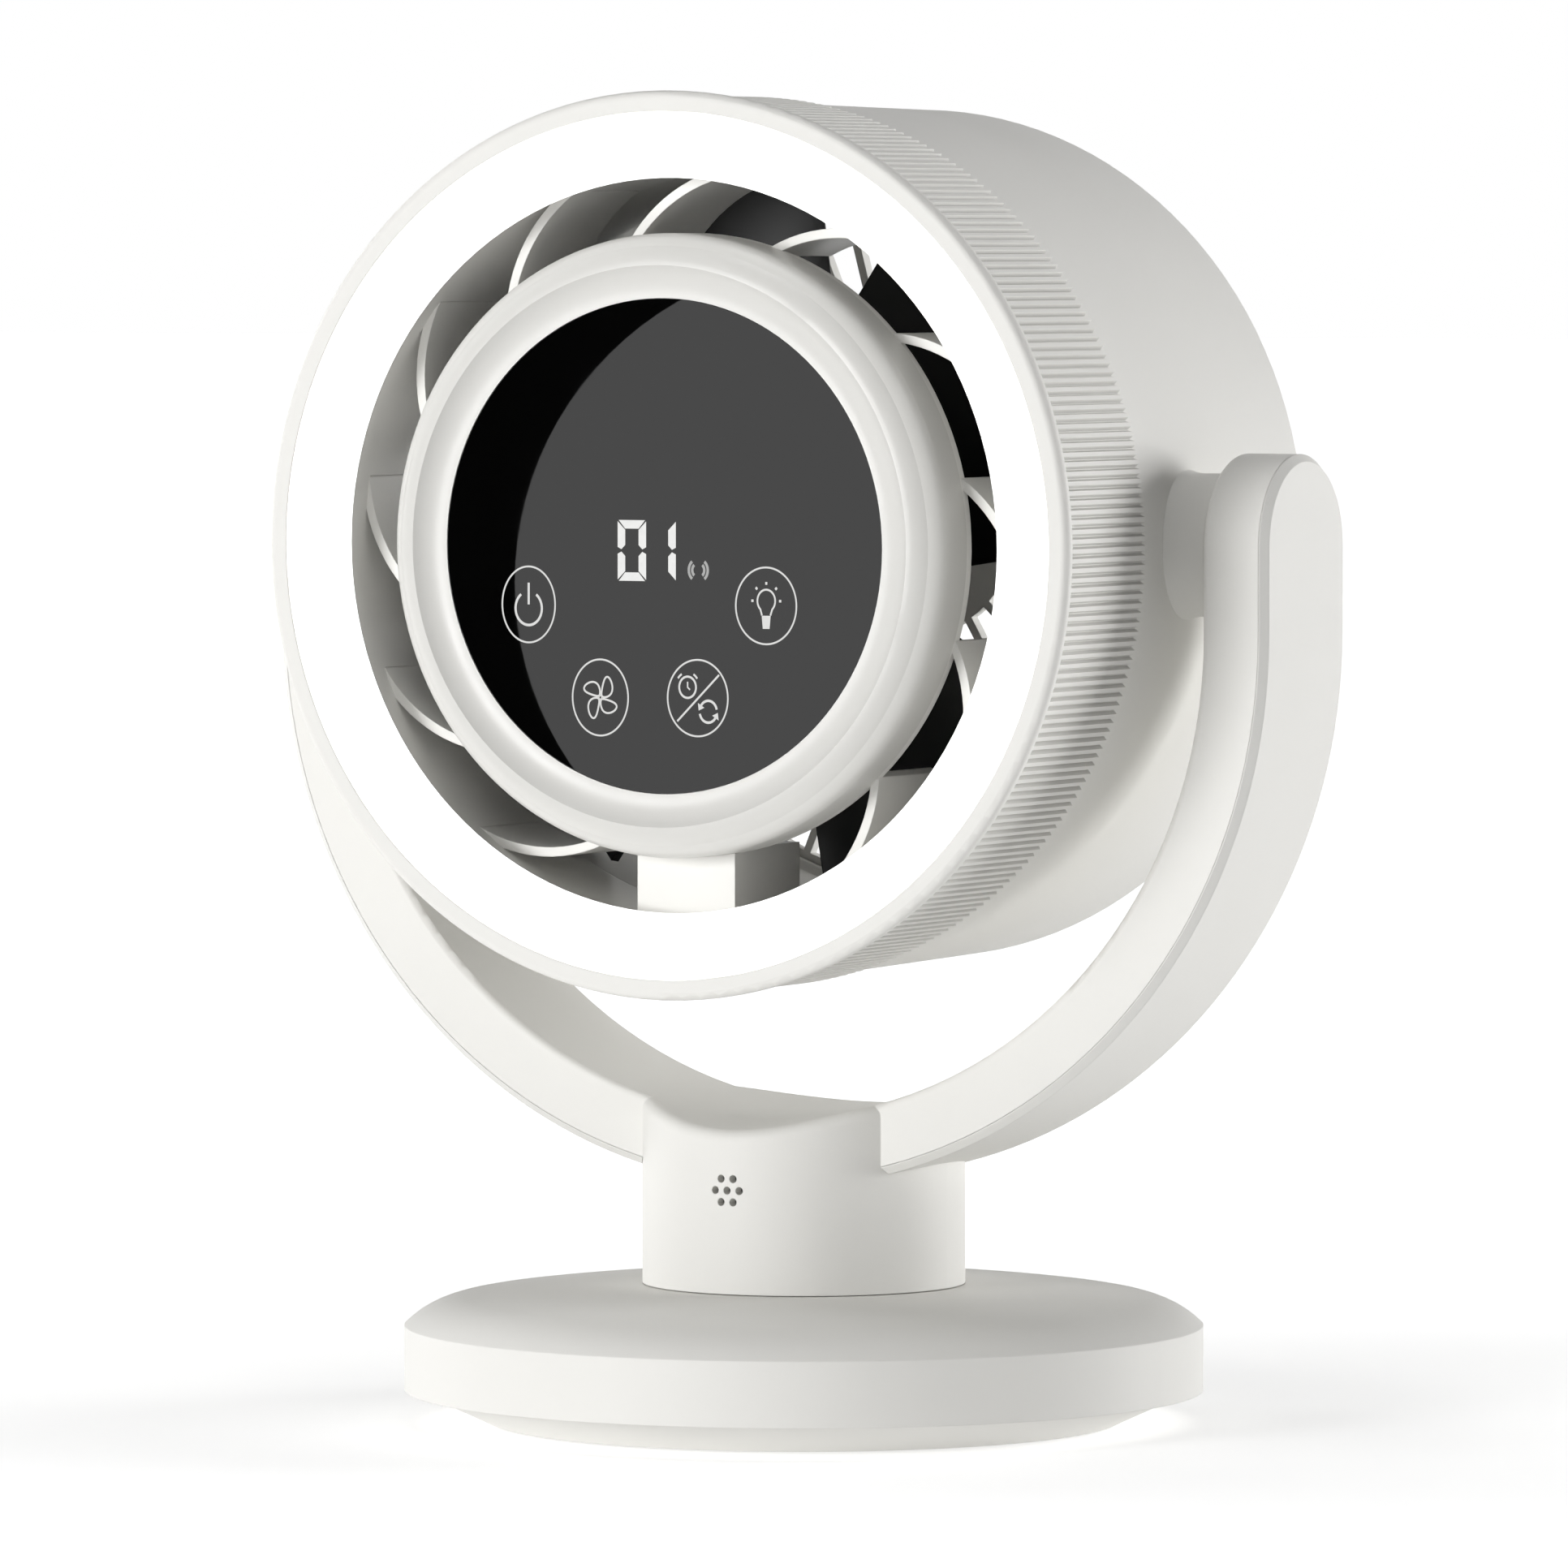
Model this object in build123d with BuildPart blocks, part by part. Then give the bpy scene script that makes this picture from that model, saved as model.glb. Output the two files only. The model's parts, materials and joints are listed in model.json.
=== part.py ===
from build123d import *
import os
from math import acos, cos, hypot, pi, radians, sin, sqrt, tan

# A desktop air circulator fan, in millimetres. +Z is up and the air blows towards -Y.
# The origin is the middle of the base, on the surface that the fan stands on.

# ---- clearances ----
fit_gap = 0.05
slide_gap = 0.1
part_gap = 0.2
turn_gap = 0.3

# ---- screws: heads and recesses follow the shank ----
screw_head_ratio = 1.9
screw_height_ratio = 1.1
recess_length_ratio = 1.2
recess_width_ratio = 0.3
base_screw_radius = 1.4
base_screw_length = 10.5
board_screw_radius = 0.85
board_screw_length = 4.0
neck_screw_radius = 1.15
neck_screw_length = 7.5
neck_screw_count = 3
neck_screw_angle = -60.0
ear_screw_radius = 1.05
ear_screw_length = 6.0
pin_screw_radius = 0.9
shell_screw_radius = 1.25
shell_screw_length = 12.5

# ---- base: domed cover over a conical foot plate ----
base_radius = 72.0
rim_bottom = 6.0
rim_height = 11.7
dome_rise = 7.4
dome_drop = 2.45
dome_corner_width = 10.0
cover_wall = 2.2
foot_step = 3.0
foot_slope = 12.0
plate_wall = 2.0
pad_radius = 6.5
pad_inset = 13.0
pad_proud = 0.4
pad_depth = 1.0
pad_bevel = 0.3
pad_count = 4
corner_angle = 45.0
foot_boss_radius = 5.0
foot_boss_height = 2.4
cover_boss_radius = 3.4
ballast_thickness = 4.0
battery_width = 34.0
battery_thickness = 8.5
battery_round = 3.0
battery_y = -14.0
board_length = 32.0
board_width = 13.0
board_thickness = 1.2
board_inset = 12.5
board_lift = 9.4
standoff_radius = 2.4
standoff_inset = 3.5
chip_size = 5.0
chip_height = 1.0
socket_width = 9.0
socket_height = 3.3
socket_depth = 7.4
socket_wall = 0.35
socket_sink = 1.0
tongue_thickness = 0.7

# ---- swivel between base and neck ----
post_radius = 7.0
post_bore_radius = 3.5
post_flat_depth = 1.4
post_tip = 2.75
bush_wall = 2.0
bush_flange_radius = 13.0
bush_flange = 1.5
neck_plate_thickness = 2.2
collar_height = 2.1
gear_module = 0.8
pressure_angle = 20.0
fixed_teeth = 24
pinion_teeth = 16
gear_width = 4.0
gear_backlash = 0.2
clip_thickness = 1.0
clip_groove_depth = 0.8
clip_rim = 2.2

# ---- neck and fork ----
neck_radius = 29.1
neck_wall = 2.2
neck_foot_gap = 0.15
neck_boss_radius = 3.0
neck_boss_height = 7.6
saddle_wall = 2.7
saddle_drop = 2.8
saddle_round = 2.0
arch_side_gap = 7.5
arch_depth = 12.5
arch_width = 32.5
arch_wall = 2.2
arch_round = 1.2
arm_rise = 15.5
cover_strip = 1.45
strip_bevel = 1.3
strip_rib = 1.4
strip_rib_height = 2.5
wire_hole_radius = 1.8
wire_hole_drop = 1.9
sound_hole_radius = 0.7
sound_hole_pitch = 2.4
sound_hole_drop = 9.5
buzzer_radius = 6.1
buzzer_length = 4.0
buzzer_room = 5.0
buzzer_cup_wall = 1.4
buzzer_port_radius = 1.2
swing_motor_radius = 12.0
swing_motor_length = 12.0
swing_motor_shift = 8.0
motor_headroom = 2.85
spindle_radius = 2.5
ear_spacing = 35.0
ear_width = 7.0
ear_thickness = 1.0
ear_lift = 3.2
ear_post_radius = 2.8

# ---- tilt pivots ----
pin_radius = 4.0
pin_bore_radius = 2.2
pin_flange_radius = 7.5
pin_flange = 1.8
pin_screw_circle = 5.6
pin_clip_rim = 1.6
boss_radius = 12.7
boss_sink = 5.4
boss_wall = 3.2
boss_bevel = 0.6
boss_flare = 1.0
boss_flare_sink = 1.6
boss_flare_length = 4.0
washer_thickness = 0.8
washer_inset = 1.0

# ---- head shell: distances along Y are measured from the tilt axis ----
head_radius = 80.0
head_front = -53.5
head_back = 50.0
lip_depth = 2.0
lip_round = 1.4
lip_width = 3.6
rib_sink = 0.8
rib_depth = 0.8
rib_crest_share = 0.44
rib_valley_share = 0.12
rib_count = 296
band_length = 30.0
band_wall = 2.0
shell_wall = 2.0
drum_taper = 0.8
tail_round = 4.0
duct_inset = 13.5
duct_wall = 1.5
duct_joint = 1.5
tower_radius = 3.2
tower_hole_radius = 2.5
tower_count = 4
tower_floor = 4.0
tower_reach = 6.0
spigot_wall = 1.2
spigot_depth = 5.0
spigot_root = 2.0
shelf_inset = 6.3
shelf_thickness = 1.5

# ---- light ring ----
ring_overhang = 1.8
ring_dish = 3.2
ring_bow = 0.5
ring_wall = 1.4
led_count = 24
led_width = 2.0
led_length = 3.0
led_height = 0.7

# ---- hub pod and vanes ----
outlet_width = 11.5
pod_wall = 1.8
pod_inset = 3.9
pod_depth = 8.6
crest_inset = 5.0
crest_proud = 1.5
window_inset = 6.5
window_sink = 2.3
window_thickness = 1.5
window_ledge = 2.2
vane_positions = 12
vane_thickness = 1.7
vane_inset = 7.2
vane_root_angle = 12.75
vane_sweep = 23.0
vane_bulge = 3.4
root_bite = 0.8
strut_width = 19.6
strut_inset = 5.4
strut_position = 9
board_post_radius = 2.4
board_post_height = 2.6
board_post_inset = 12.0
board_margin = 3.5
digit_width = 17.0
digit_height = 14.0
spring_radius = 3.5
spring_wire = 0.6

# ---- fan motor and impeller ----
shaft_radius = 1.5
bearing_radius = 4.0
bearing_width = 4.0
bearing_inset = 2.0
tube_wall = 2.5
stator_inset = 10.0
stator_length = 10.0
stator_radius = 18.0
stator_pole_count = 9
pole_width = 2.6
pole_ring = 2.2
core_wall = 3.0
coil_width = 5.2
coil_overhang = 1.6
can_radius = 21.4
can_wall = 1.2
can_room = 5.0
can_boss_radius = 4.0
can_boss_height = 3.0
magnet_wall = 1.6
hub_radius = 24.5
hub_wall = 2.8
hub_depth = 20.0
hub_round = 5.0
hub_skirt = 6.0
blade_count = 4
blade_gap = 1.7
blade_inset = 8.6
blade_thickness = 1.8
blade_start_angle = 58.0
tip_chord = 81.6
tip_pitch = 18.6
root_chord = 39.7
root_pitch = 35.1
blade_camber = 6.8
root_station = 16.0
tip_station = 67.5
nut_radius = 5.0
nut_height = 4.5
nut_round = 1.2
nut_cap = 0.9

# ---- rear grille ----
grille_thickness = 3.0
grille_sink = 0.5
grille_hub_radius = 18.0
grille_middle_inset = 24.5
grille_rim = 2.6
grille_bar = 1.5
grille_ledge = 1.4
inner_bar_count = 24
outer_bar_count = 48

# ---- places worked out from the sizes above: base and swivel ----
rim_top = rim_bottom + rim_height
land_height = rim_top + dome_rise
land_radius = neck_radius - 2.0
foot_top_radius = base_radius - foot_step
foot_bottom_radius = foot_top_radius - foot_slope
plate_bottom = pad_proud
plate_top = plate_bottom + plate_wall
flange_top = rim_bottom + plate_wall
flange_radius = base_radius - cover_wall - part_gap
pad_circle = foot_bottom_radius - pad_inset
pad_top = plate_bottom + pad_depth
foot_boss_top = plate_top + foot_boss_height
base_screw_seat = foot_boss_top - plate_wall / 2
ballast_radius = pad_circle - foot_boss_radius - 1.0
ballast_top = plate_top + ballast_thickness
battery_length = sqrt(2) * pad_circle - 2 * foot_boss_radius - part_gap
board_y = base_radius - board_inset
board_top = board_lift + board_thickness
socket_middle = board_top + socket_height / 2
bush_radius = post_radius + fit_gap + bush_wall
bush_bottom = land_height + fit_gap
neck_plate_bottom = bush_bottom + bush_flange
neck_plate_top = neck_plate_bottom + neck_plate_thickness
collar_top = neck_plate_top + collar_height
gear_bottom = collar_top + turn_gap
gear_top = gear_bottom + gear_width
gear_spacing = gear_module * (fixed_teeth + pinion_teeth) / 2
post_height = gear_top + post_tip
ear_height = gear_top + ear_lift
swing_motor_y = gear_spacing - swing_motor_shift
ear_places = [(ear_spacing / 2, swing_motor_y), (-ear_spacing / 2, swing_motor_y)]

# ---- places worked out: head, from the outside in ----
rib_tip_radius = head_radius - rib_sink
band_inner_radius = rib_tip_radius - band_wall
front_wall_inner = band_inner_radius - shell_wall
drum_front_radius = rib_tip_radius - rib_depth - slide_gap
shell_tail_radius = drum_front_radius - drum_taper
ring_outer_radius = head_radius - lip_width
duct_radius = head_radius - duct_inset
duct_outer_radius = duct_radius + duct_wall
ring_inner_radius = duct_radius - ring_overhang
tower_circle = duct_outer_radius + tower_radius + slide_gap
pod_radius = duct_radius - outlet_width
crest_radius = pod_radius - crest_inset
window_radius = crest_radius - window_inset
blade_tip_radius = duct_radius - blade_gap
grille_radius = duct_radius - slide_gap
grille_middle_radius = duct_radius - grille_middle_inset
lip_back = head_front + lip_depth
shell_split = lip_back + band_length
duct_split = shell_split + duct_joint
shell_tail = head_back - tail_round
shelf_front = head_front + shelf_inset
shelf_back = shelf_front + shelf_thickness
ring_inner_front = head_front + ring_dish
ring_back = head_front + 2 * ring_wall + slide_gap
pod_front = head_front + pod_inset
pod_back = pod_front + pod_depth
pod_floor = pod_back - pod_wall
crest_front = head_front - crest_proud
window_front = crest_front + window_sink
window_back = window_front + window_thickness
vane_front = pod_front + vane_inset
vane_back = duct_split
strut_front = pod_front + strut_inset
board_back = pod_floor - board_post_height
board_front = board_back - board_thickness
board_radius = window_radius - board_margin
tube_radius = bearing_radius + tube_wall
stator_front = pod_back + stator_inset
stator_back = stator_front + stator_length
can_back = stator_back + can_room
tube_back = can_back - can_wall - turn_gap
hub_back = can_back + hub_depth
blade_middle = hub_back - blade_inset

# ---- places worked out: neck, fork and pivots ----
neck_bottom = land_height + neck_foot_gap
neck_inner_radius = neck_radius - neck_wall
neck_screw_circle = neck_inner_radius - neck_boss_radius + turn_gap
neck_ceiling = ear_height + swing_motor_length + motor_headroom
sound_hole_height = neck_ceiling - sound_hole_drop
buzzer_back = buzzer_room - neck_inner_radius
arch_inner_radius = head_radius + arch_side_gap
arch_outer_radius = arch_inner_radius + arch_depth
arch_height = neck_ceiling + saddle_wall + arch_inner_radius
pivot_height = arch_height + arm_rise
half_width = arch_width / 2
strip_inner_radius = arch_outer_radius - cover_strip
frame_outer_radius = strip_inner_radius - fit_gap
channel_radius = arch_inner_radius + arch_wall
channel_half = half_width - arch_wall
boss_end = arch_inner_radius - washer_thickness - slide_gap
boss_inner_end = shell_tail_radius - boss_sink
boss_flare_start = shell_tail_radius - boss_flare_sink
boss_flare_end = boss_flare_start + boss_flare_length
pin_inner_end = boss_inner_end - clip_thickness - 2 * slide_gap
pivot_centre = (0, 0, pivot_height)

# ---- working planes and axes ----
head_section = Plane.XY.offset(pivot_height)
air_axis = Axis(pivot_centre, (0, 1, 0))
tilt_axis = Axis(pivot_centre, (1, 0, 0))


def front_view(y):
    """Plane facing the viewer at depth y, centred on the tilt axis."""
    return Plane(origin=(0, y, pivot_height), x_dir=(1, 0, 0), z_dir=(0, -1, 0))


def side_view(x):
    """Plane across the tilt axis at x; its own x is Y and its own y is Z."""
    return Plane(origin=(x, 0, pivot_height), x_dir=(0, 1, 0), z_dir=(1, 0, 0))


def across(side, x):
    """Plane across the tilt axis on one side, facing away from the head."""
    return Plane(origin=(side * x, 0, pivot_height), x_dir=(0, side, 0), z_dir=(side, 0, 0))


def facing_down(seat):
    """The same place turned over, for a screw that goes in from below."""
    return Plane(origin=seat.origin, x_dir=(1, 0, 0), z_dir=(0, 0, -1))


def polar(radius, angle):
    """Point at a radius and an angle in degrees."""
    return (radius * cos(radians(angle)), radius * sin(radians(angle)))


def ring_places(radius, count, height, first_angle):
    """Upright planes spaced on a circle about the Z axis."""
    step = 360 / count
    corners = [polar(radius, first_angle + step * k) for k in range(count)]
    return [Plane.XY.offset(height).shift_origin((x, y, height)) for x, y in corners]


def spots(circle, count, first_angle, radius):
    """Disks of one radius spaced on a circle."""
    with BuildSketch() as disks:
        with PolarLocations(circle, count, start_angle=first_angle):
            Circle(radius)
    return disks.sketch


def corner_spots(radius):
    """Disks over the foot pads, seen from above."""
    return spots(pad_circle, pad_count, corner_angle, radius)


def neck_spots(radius):
    """Disks at the screws of the neck plate, seen from above."""
    return spots(neck_screw_circle, neck_screw_count, neck_screw_angle, radius)


def pan_screws(seats, shank_radius, shank_length):
    """Screws with a cross recess; each seat plane faces out of the screw's head."""
    width = shank_radius * screw_head_ratio
    height = shank_radius * screw_height_ratio
    with BuildPart() as group:
        for seat in seats:
            with BuildSketch(seat):
                Circle(width)
            extrude(amount=height)
            with BuildSketch(seat):
                Circle(shank_radius)
            extrude(amount=-shank_length)
            with BuildSketch(seat.offset(height)):
                Rectangle(width * recess_length_ratio, width * recess_width_ratio)
                Rectangle(width * recess_width_ratio, width * recess_length_ratio)
            extrude(amount=-height / 2, mode=Mode.SUBTRACT)
    return group


def finish(piece, name):
    """Label a finished piece and write it."""
    piece.part.label = name
    export_step(piece.part, "parts/" + name + ".step")


os.makedirs("parts", exist_ok=True)

# ==== base ====


def dome_section(inset):
    """Half section of the base from the axis to the rim, drawn in by an inset."""
    top = land_height - inset
    corner = (base_radius - dome_corner_width, land_height - dome_drop - inset)
    rim = (base_radius - inset, rim_top - inset / 2)
    with BuildSketch() as section:
        with BuildLine():
            Line((0, rim_bottom), (0, top))
            Line((0, top), (land_radius, top))
            dome = TangentArc((land_radius, top), corner, tangent=(1, 0))
            TangentArc(corner, rim, tangent=dome % 1)
            Line(rim, (base_radius - inset, rim_bottom))
            Line((base_radius - inset, rim_bottom), (0, rim_bottom))
        make_face()
    return section.sketch


with BuildPart() as base_hollow:
    with BuildSketch(Plane.XZ):
        add(dome_section(cover_wall))
    revolve(axis=Axis.Z)
    with BuildSketch(Plane.XY.offset(rim_top)):
        Circle(post_radius + cover_wall)
    extrude(amount=land_height, mode=Mode.SUBTRACT)

with BuildPart() as base_cover:
    with BuildSketch(Plane.XZ):
        add(dome_section(0))
    revolve(axis=Axis.Z)
    add(base_hollow.part, mode=Mode.SUBTRACT)
    with BuildSketch(Plane.XY.offset(foot_boss_top)):
        add(corner_spots(cover_boss_radius))
    extrude(amount=land_height - cover_wall - foot_boss_top)
    with BuildSketch(Plane.XY.offset(foot_boss_top)):
        add(corner_spots(base_screw_radius + fit_gap))
    extrude(amount=base_screw_length, mode=Mode.SUBTRACT)
    with BuildSketch(Plane.XY.offset(land_height)):
        Circle(post_radius)
    extrude(amount=post_height - land_height)
    with BuildSketch(Plane.XY.offset(gear_top)):
        Circle(post_radius)
        Circle(post_radius - clip_groove_depth, mode=Mode.SUBTRACT)
    extrude(amount=clip_thickness + slide_gap, mode=Mode.SUBTRACT)
    with BuildSketch(Plane.XY.offset(gear_bottom)):
        with Locations((post_radius, 0)):
            Rectangle(2 * post_flat_depth, 2 * post_radius)
    extrude(amount=post_height, mode=Mode.SUBTRACT)
    with BuildSketch(Plane.XY):
        Circle(post_bore_radius)
    extrude(amount=post_height, mode=Mode.SUBTRACT)
    with BuildSketch(Plane.XZ.offset(-base_radius + cover_wall * 2)):
        with Locations((0, socket_middle)):
            SlotOverall(socket_width + 2 * part_gap, socket_height + 2 * part_gap)
    extrude(amount=-cover_wall * 3, mode=Mode.SUBTRACT)
finish(base_cover, "base_cover")

standoff_x = board_length / 2 - standoff_inset
standoff_y = board_y - board_width / 2 + standoff_inset
standoff_places = [(standoff_x, standoff_y), (-standoff_x, standoff_y)]
with BuildPart() as base_plate:
    with BuildSketch(Plane.XZ):
        with BuildLine():
            Polyline(
                (0, plate_bottom),
                (foot_bottom_radius, plate_bottom),
                (foot_top_radius, rim_bottom),
                (flange_radius, rim_bottom),
                (flange_radius, flange_top),
                (foot_top_radius - plate_wall / 3, flange_top),
                (foot_bottom_radius - plate_wall / 3, plate_top),
                (0, plate_top),
                close=True,
            )
        make_face()
    revolve(axis=Axis.Z)
    with BuildSketch(Plane.XY.offset(board_lift)):
        with Locations(*standoff_places):
            Circle(standoff_radius)
    extrude(amount=plate_top - plate_wall / 4 - board_lift)
    with BuildSketch(Plane.XY.offset(board_lift)):
        with Locations(*standoff_places):
            Circle(board_screw_radius + fit_gap)
    extrude(amount=-board_screw_length, mode=Mode.SUBTRACT)
    with BuildSketch(Plane.XY.offset(foot_boss_top)):
        add(corner_spots(foot_boss_radius))
    extrude(amount=plate_bottom - foot_boss_top)
    with BuildSketch(Plane.XY):
        add(corner_spots(pad_radius + slide_gap))
    extrude(amount=pad_top, mode=Mode.SUBTRACT)
    with BuildSketch(Plane.XY):
        add(corner_spots(base_screw_radius * screw_head_ratio + part_gap))
    extrude(amount=base_screw_seat, mode=Mode.SUBTRACT)
    with BuildSketch(Plane.XY):
        add(corner_spots(base_screw_radius + part_gap))
    extrude(amount=foot_boss_top, mode=Mode.SUBTRACT)
finish(base_plate, "base_plate")

with BuildPart() as foot_pads:
    with BuildSketch(Plane.XY):
        add(corner_spots(pad_radius))
    extrude(amount=pad_top)
    chamfer(foot_pads.edges().group_by(Axis.Z)[0], pad_bevel)
finish(foot_pads, "foot_pads")

base_screw_places = ring_places(pad_circle, pad_count, base_screw_seat, corner_angle)
base_screw_seats = [facing_down(place) for place in base_screw_places]
base_screws = pan_screws(base_screw_seats, base_screw_radius, base_screw_length)
finish(base_screws, "base_screws")

with BuildPart() as ballast_plate:
    with BuildSketch(Plane.XY.offset(plate_top)):
        Circle(ballast_radius)
        Circle(post_radius, mode=Mode.SUBTRACT)
    extrude(amount=ballast_thickness)
finish(ballast_plate, "ballast_plate")

with BuildPart() as battery_pack:
    with BuildSketch(Plane.XY.offset(ballast_top)):
        with Locations((0, battery_y)):
            RectangleRounded(battery_length, battery_width, battery_round)
    extrude(amount=battery_thickness)
finish(battery_pack, "battery_pack")

with BuildPart() as charge_board:
    with BuildSketch(Plane.XY.offset(board_lift)):
        with Locations((0, board_y)):
            Rectangle(board_length, board_width)
        with Locations(*standoff_places):
            Circle(board_screw_radius + part_gap, mode=Mode.SUBTRACT)
    extrude(amount=board_thickness)
    with BuildSketch(Plane.XY.offset(board_top)):
        with Locations((0, board_y - board_width / 2 + chip_size / 2 + part_gap)):
            Rectangle(chip_size, chip_size)
    extrude(amount=chip_height)
finish(charge_board, "charge_board")

board_places = [(x, y, board_top) for x, y in standoff_places]
board_seats = [Plane.XY.offset(board_top).shift_origin(place) for place in board_places]
board_screws = pan_screws(board_seats, board_screw_radius, board_screw_length)
finish(board_screws, "board_screws")

with BuildPart() as usb_socket:
    with BuildSketch(Plane.XZ.offset(socket_sink - base_radius)):
        with Locations((0, socket_middle)):
            SlotOverall(socket_width, socket_height)
    extrude(amount=socket_depth)
    with BuildSketch(Plane.XZ.offset(socket_sink - base_radius)):
        with Locations((0, socket_middle)):
            SlotOverall(socket_width - 2 * socket_wall, socket_height - 2 * socket_wall)
            Rectangle(socket_width * 3 / 4, tongue_thickness, mode=Mode.SUBTRACT)
    extrude(amount=socket_depth - 2 * socket_wall, mode=Mode.SUBTRACT)
finish(usb_socket, "usb_socket")

# ==== swivel gear ====


def gear_outline(teeth, turn):
    """Involute teeth as a closed outline; turn is the angle of one tooth's middle."""
    pitch_radius = gear_module * teeth / 2
    base_circle = pitch_radius * cos(radians(pressure_angle))
    root = pitch_radius - 1.25 * gear_module
    tip = pitch_radius + gear_module * 0.95
    half_tooth = pi / (2 * teeth) - gear_backlash / (2 * pitch_radius)
    involute_at_pitch = tan(radians(pressure_angle)) - radians(pressure_angle)
    flank = [root, pitch_radius - 0.5 * gear_module, pitch_radius + 0.3 * gear_module, tip]
    points = []
    for tooth in range(teeth):
        middle = radians(turn) + 2 * pi * tooth / teeth
        for side, radii in ((-1, flank), (1, flank[::-1])):
            for radius in radii:
                pressure = acos(min(1.0, base_circle / radius))
                spread = half_tooth + involute_at_pitch - (tan(pressure) - pressure)
                angle = middle + side * spread
                points.append((radius * cos(angle), radius * sin(angle)))
    return points


with BuildPart() as fixed_gear:
    with BuildSketch(Plane.XY.offset(gear_bottom)):
        with BuildLine():
            Polyline(*gear_outline(fixed_teeth, 90), close=True)
        make_face()
        Circle(post_radius + fit_gap, mode=Mode.SUBTRACT)
    extrude(amount=gear_width)
    with BuildSketch(Plane.XY.offset(gear_bottom)):
        Circle(post_radius + fit_gap)
        with Locations((fit_gap - post_flat_depth, 0)):
            Rectangle(2 * post_radius, 3 * post_radius, mode=Mode.SUBTRACT)
    extrude(amount=gear_width)
finish(fixed_gear, "fixed_gear")

with BuildPart() as gear_clip:
    with BuildSketch(Plane.XY.offset(gear_top + slide_gap / 2)):
        Circle(post_radius + clip_rim)
        Circle(post_radius - clip_groove_depth + fit_gap, mode=Mode.SUBTRACT)
        with Locations((post_radius + clip_rim, 0)):
            Rectangle(2 * post_radius, post_radius, mode=Mode.SUBTRACT)
    extrude(amount=clip_thickness)
finish(gear_clip, "gear_clip")

# ==== neck and fork ====


def arch_face(inner, outer):
    """Front view of the fork between two radii: half a ring with upright arms."""
    top = pivot_height + half_width
    with BuildSketch() as face:
        with BuildLine():
            Line((-outer, top), (-outer, arch_height))
            ThreePointArc((-outer, arch_height), (0, arch_height - outer), (outer, arch_height))
            Line((outer, arch_height), (outer, top))
            Line((outer, top), (inner, top))
            Line((inner, top), (inner, arch_height))
            ThreePointArc((inner, arch_height), (0, arch_height - inner), (-inner, arch_height))
            Line((-inner, arch_height), (-inner, top))
            Line((-inner, top), (-outer, top))
        make_face()
    return face.sketch


def arch_solid(inner, outer, half):
    """The fork between two radii, with arms that end round about the tilt axis."""
    with BuildPart() as arch:
        with BuildSketch(Plane.XZ):
            add(arch_face(inner, outer))
        extrude(amount=half, both=True)
        with BuildSketch(side_view(-arch_outer_radius)):
            Circle(half)
            with Locations((0, -pivot_height / 2)):
                Rectangle(2 * half, pivot_height)
        extrude(amount=2 * arch_outer_radius, mode=Mode.INTERSECT)
    return arch.part


def on_arch_inside(edge):
    """True for an edge that runs along the inner face of the fork."""
    middle = edge @ 0.5
    reach = abs(middle.X)
    if middle.Z < arch_height:
        reach = hypot(middle.X, middle.Z - arch_height)
    return abs(reach - arch_inner_radius) < fit_gap / 2 and abs(middle.Y) > half_width / 2


def on_saddle_rim(edge):
    """True for an edge where the saddle meets the outside of the neck."""
    middle = edge @ 0.5
    on_neck = abs(hypot(middle.X, middle.Y) - neck_radius) < fit_gap
    return on_neck and abs((edge % 0.5).Z) < 0.9 and middle.Z > neck_ceiling


# The saddle follows the fork, then falls away in front of it.
saddle_start = (arch_inner_radius, -half_width)
saddle_end = (arch_inner_radius + saddle_drop, -neck_radius - saddle_wall)
with BuildPart() as neck_blank:
    with BuildSketch(Plane.XY.offset(neck_bottom)):
        Circle(neck_radius)
    extrude(amount=arch_height - neck_bottom)
    with BuildSketch(Plane.XZ):
        with Locations((0, arch_height)):
            Circle(arch_inner_radius)
    extrude(amount=neck_radius * 2, both=True, mode=Mode.SUBTRACT)
    with BuildSketch(Plane.XY.offset(arch_height)):
        with BuildLine():
            TangentArc(saddle_start, saddle_end, tangent=(0, -1))
            Polyline(saddle_end, (0, saddle_end[1]), (0, -half_width), saddle_start)
        make_face()
    revolve(axis=Axis((0, 0, arch_height), (0, 1, 0)), mode=Mode.SUBTRACT)
    fillet([edge for edge in neck_blank.edges() if on_saddle_rim(edge)], saddle_round)

with BuildPart() as channel_blank:
    add(arch_solid(channel_radius, arch_outer_radius, channel_half))
    with BuildSketch(Plane.XY):
        Circle(neck_radius)
    extrude(amount=pivot_height, mode=Mode.SUBTRACT)

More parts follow.
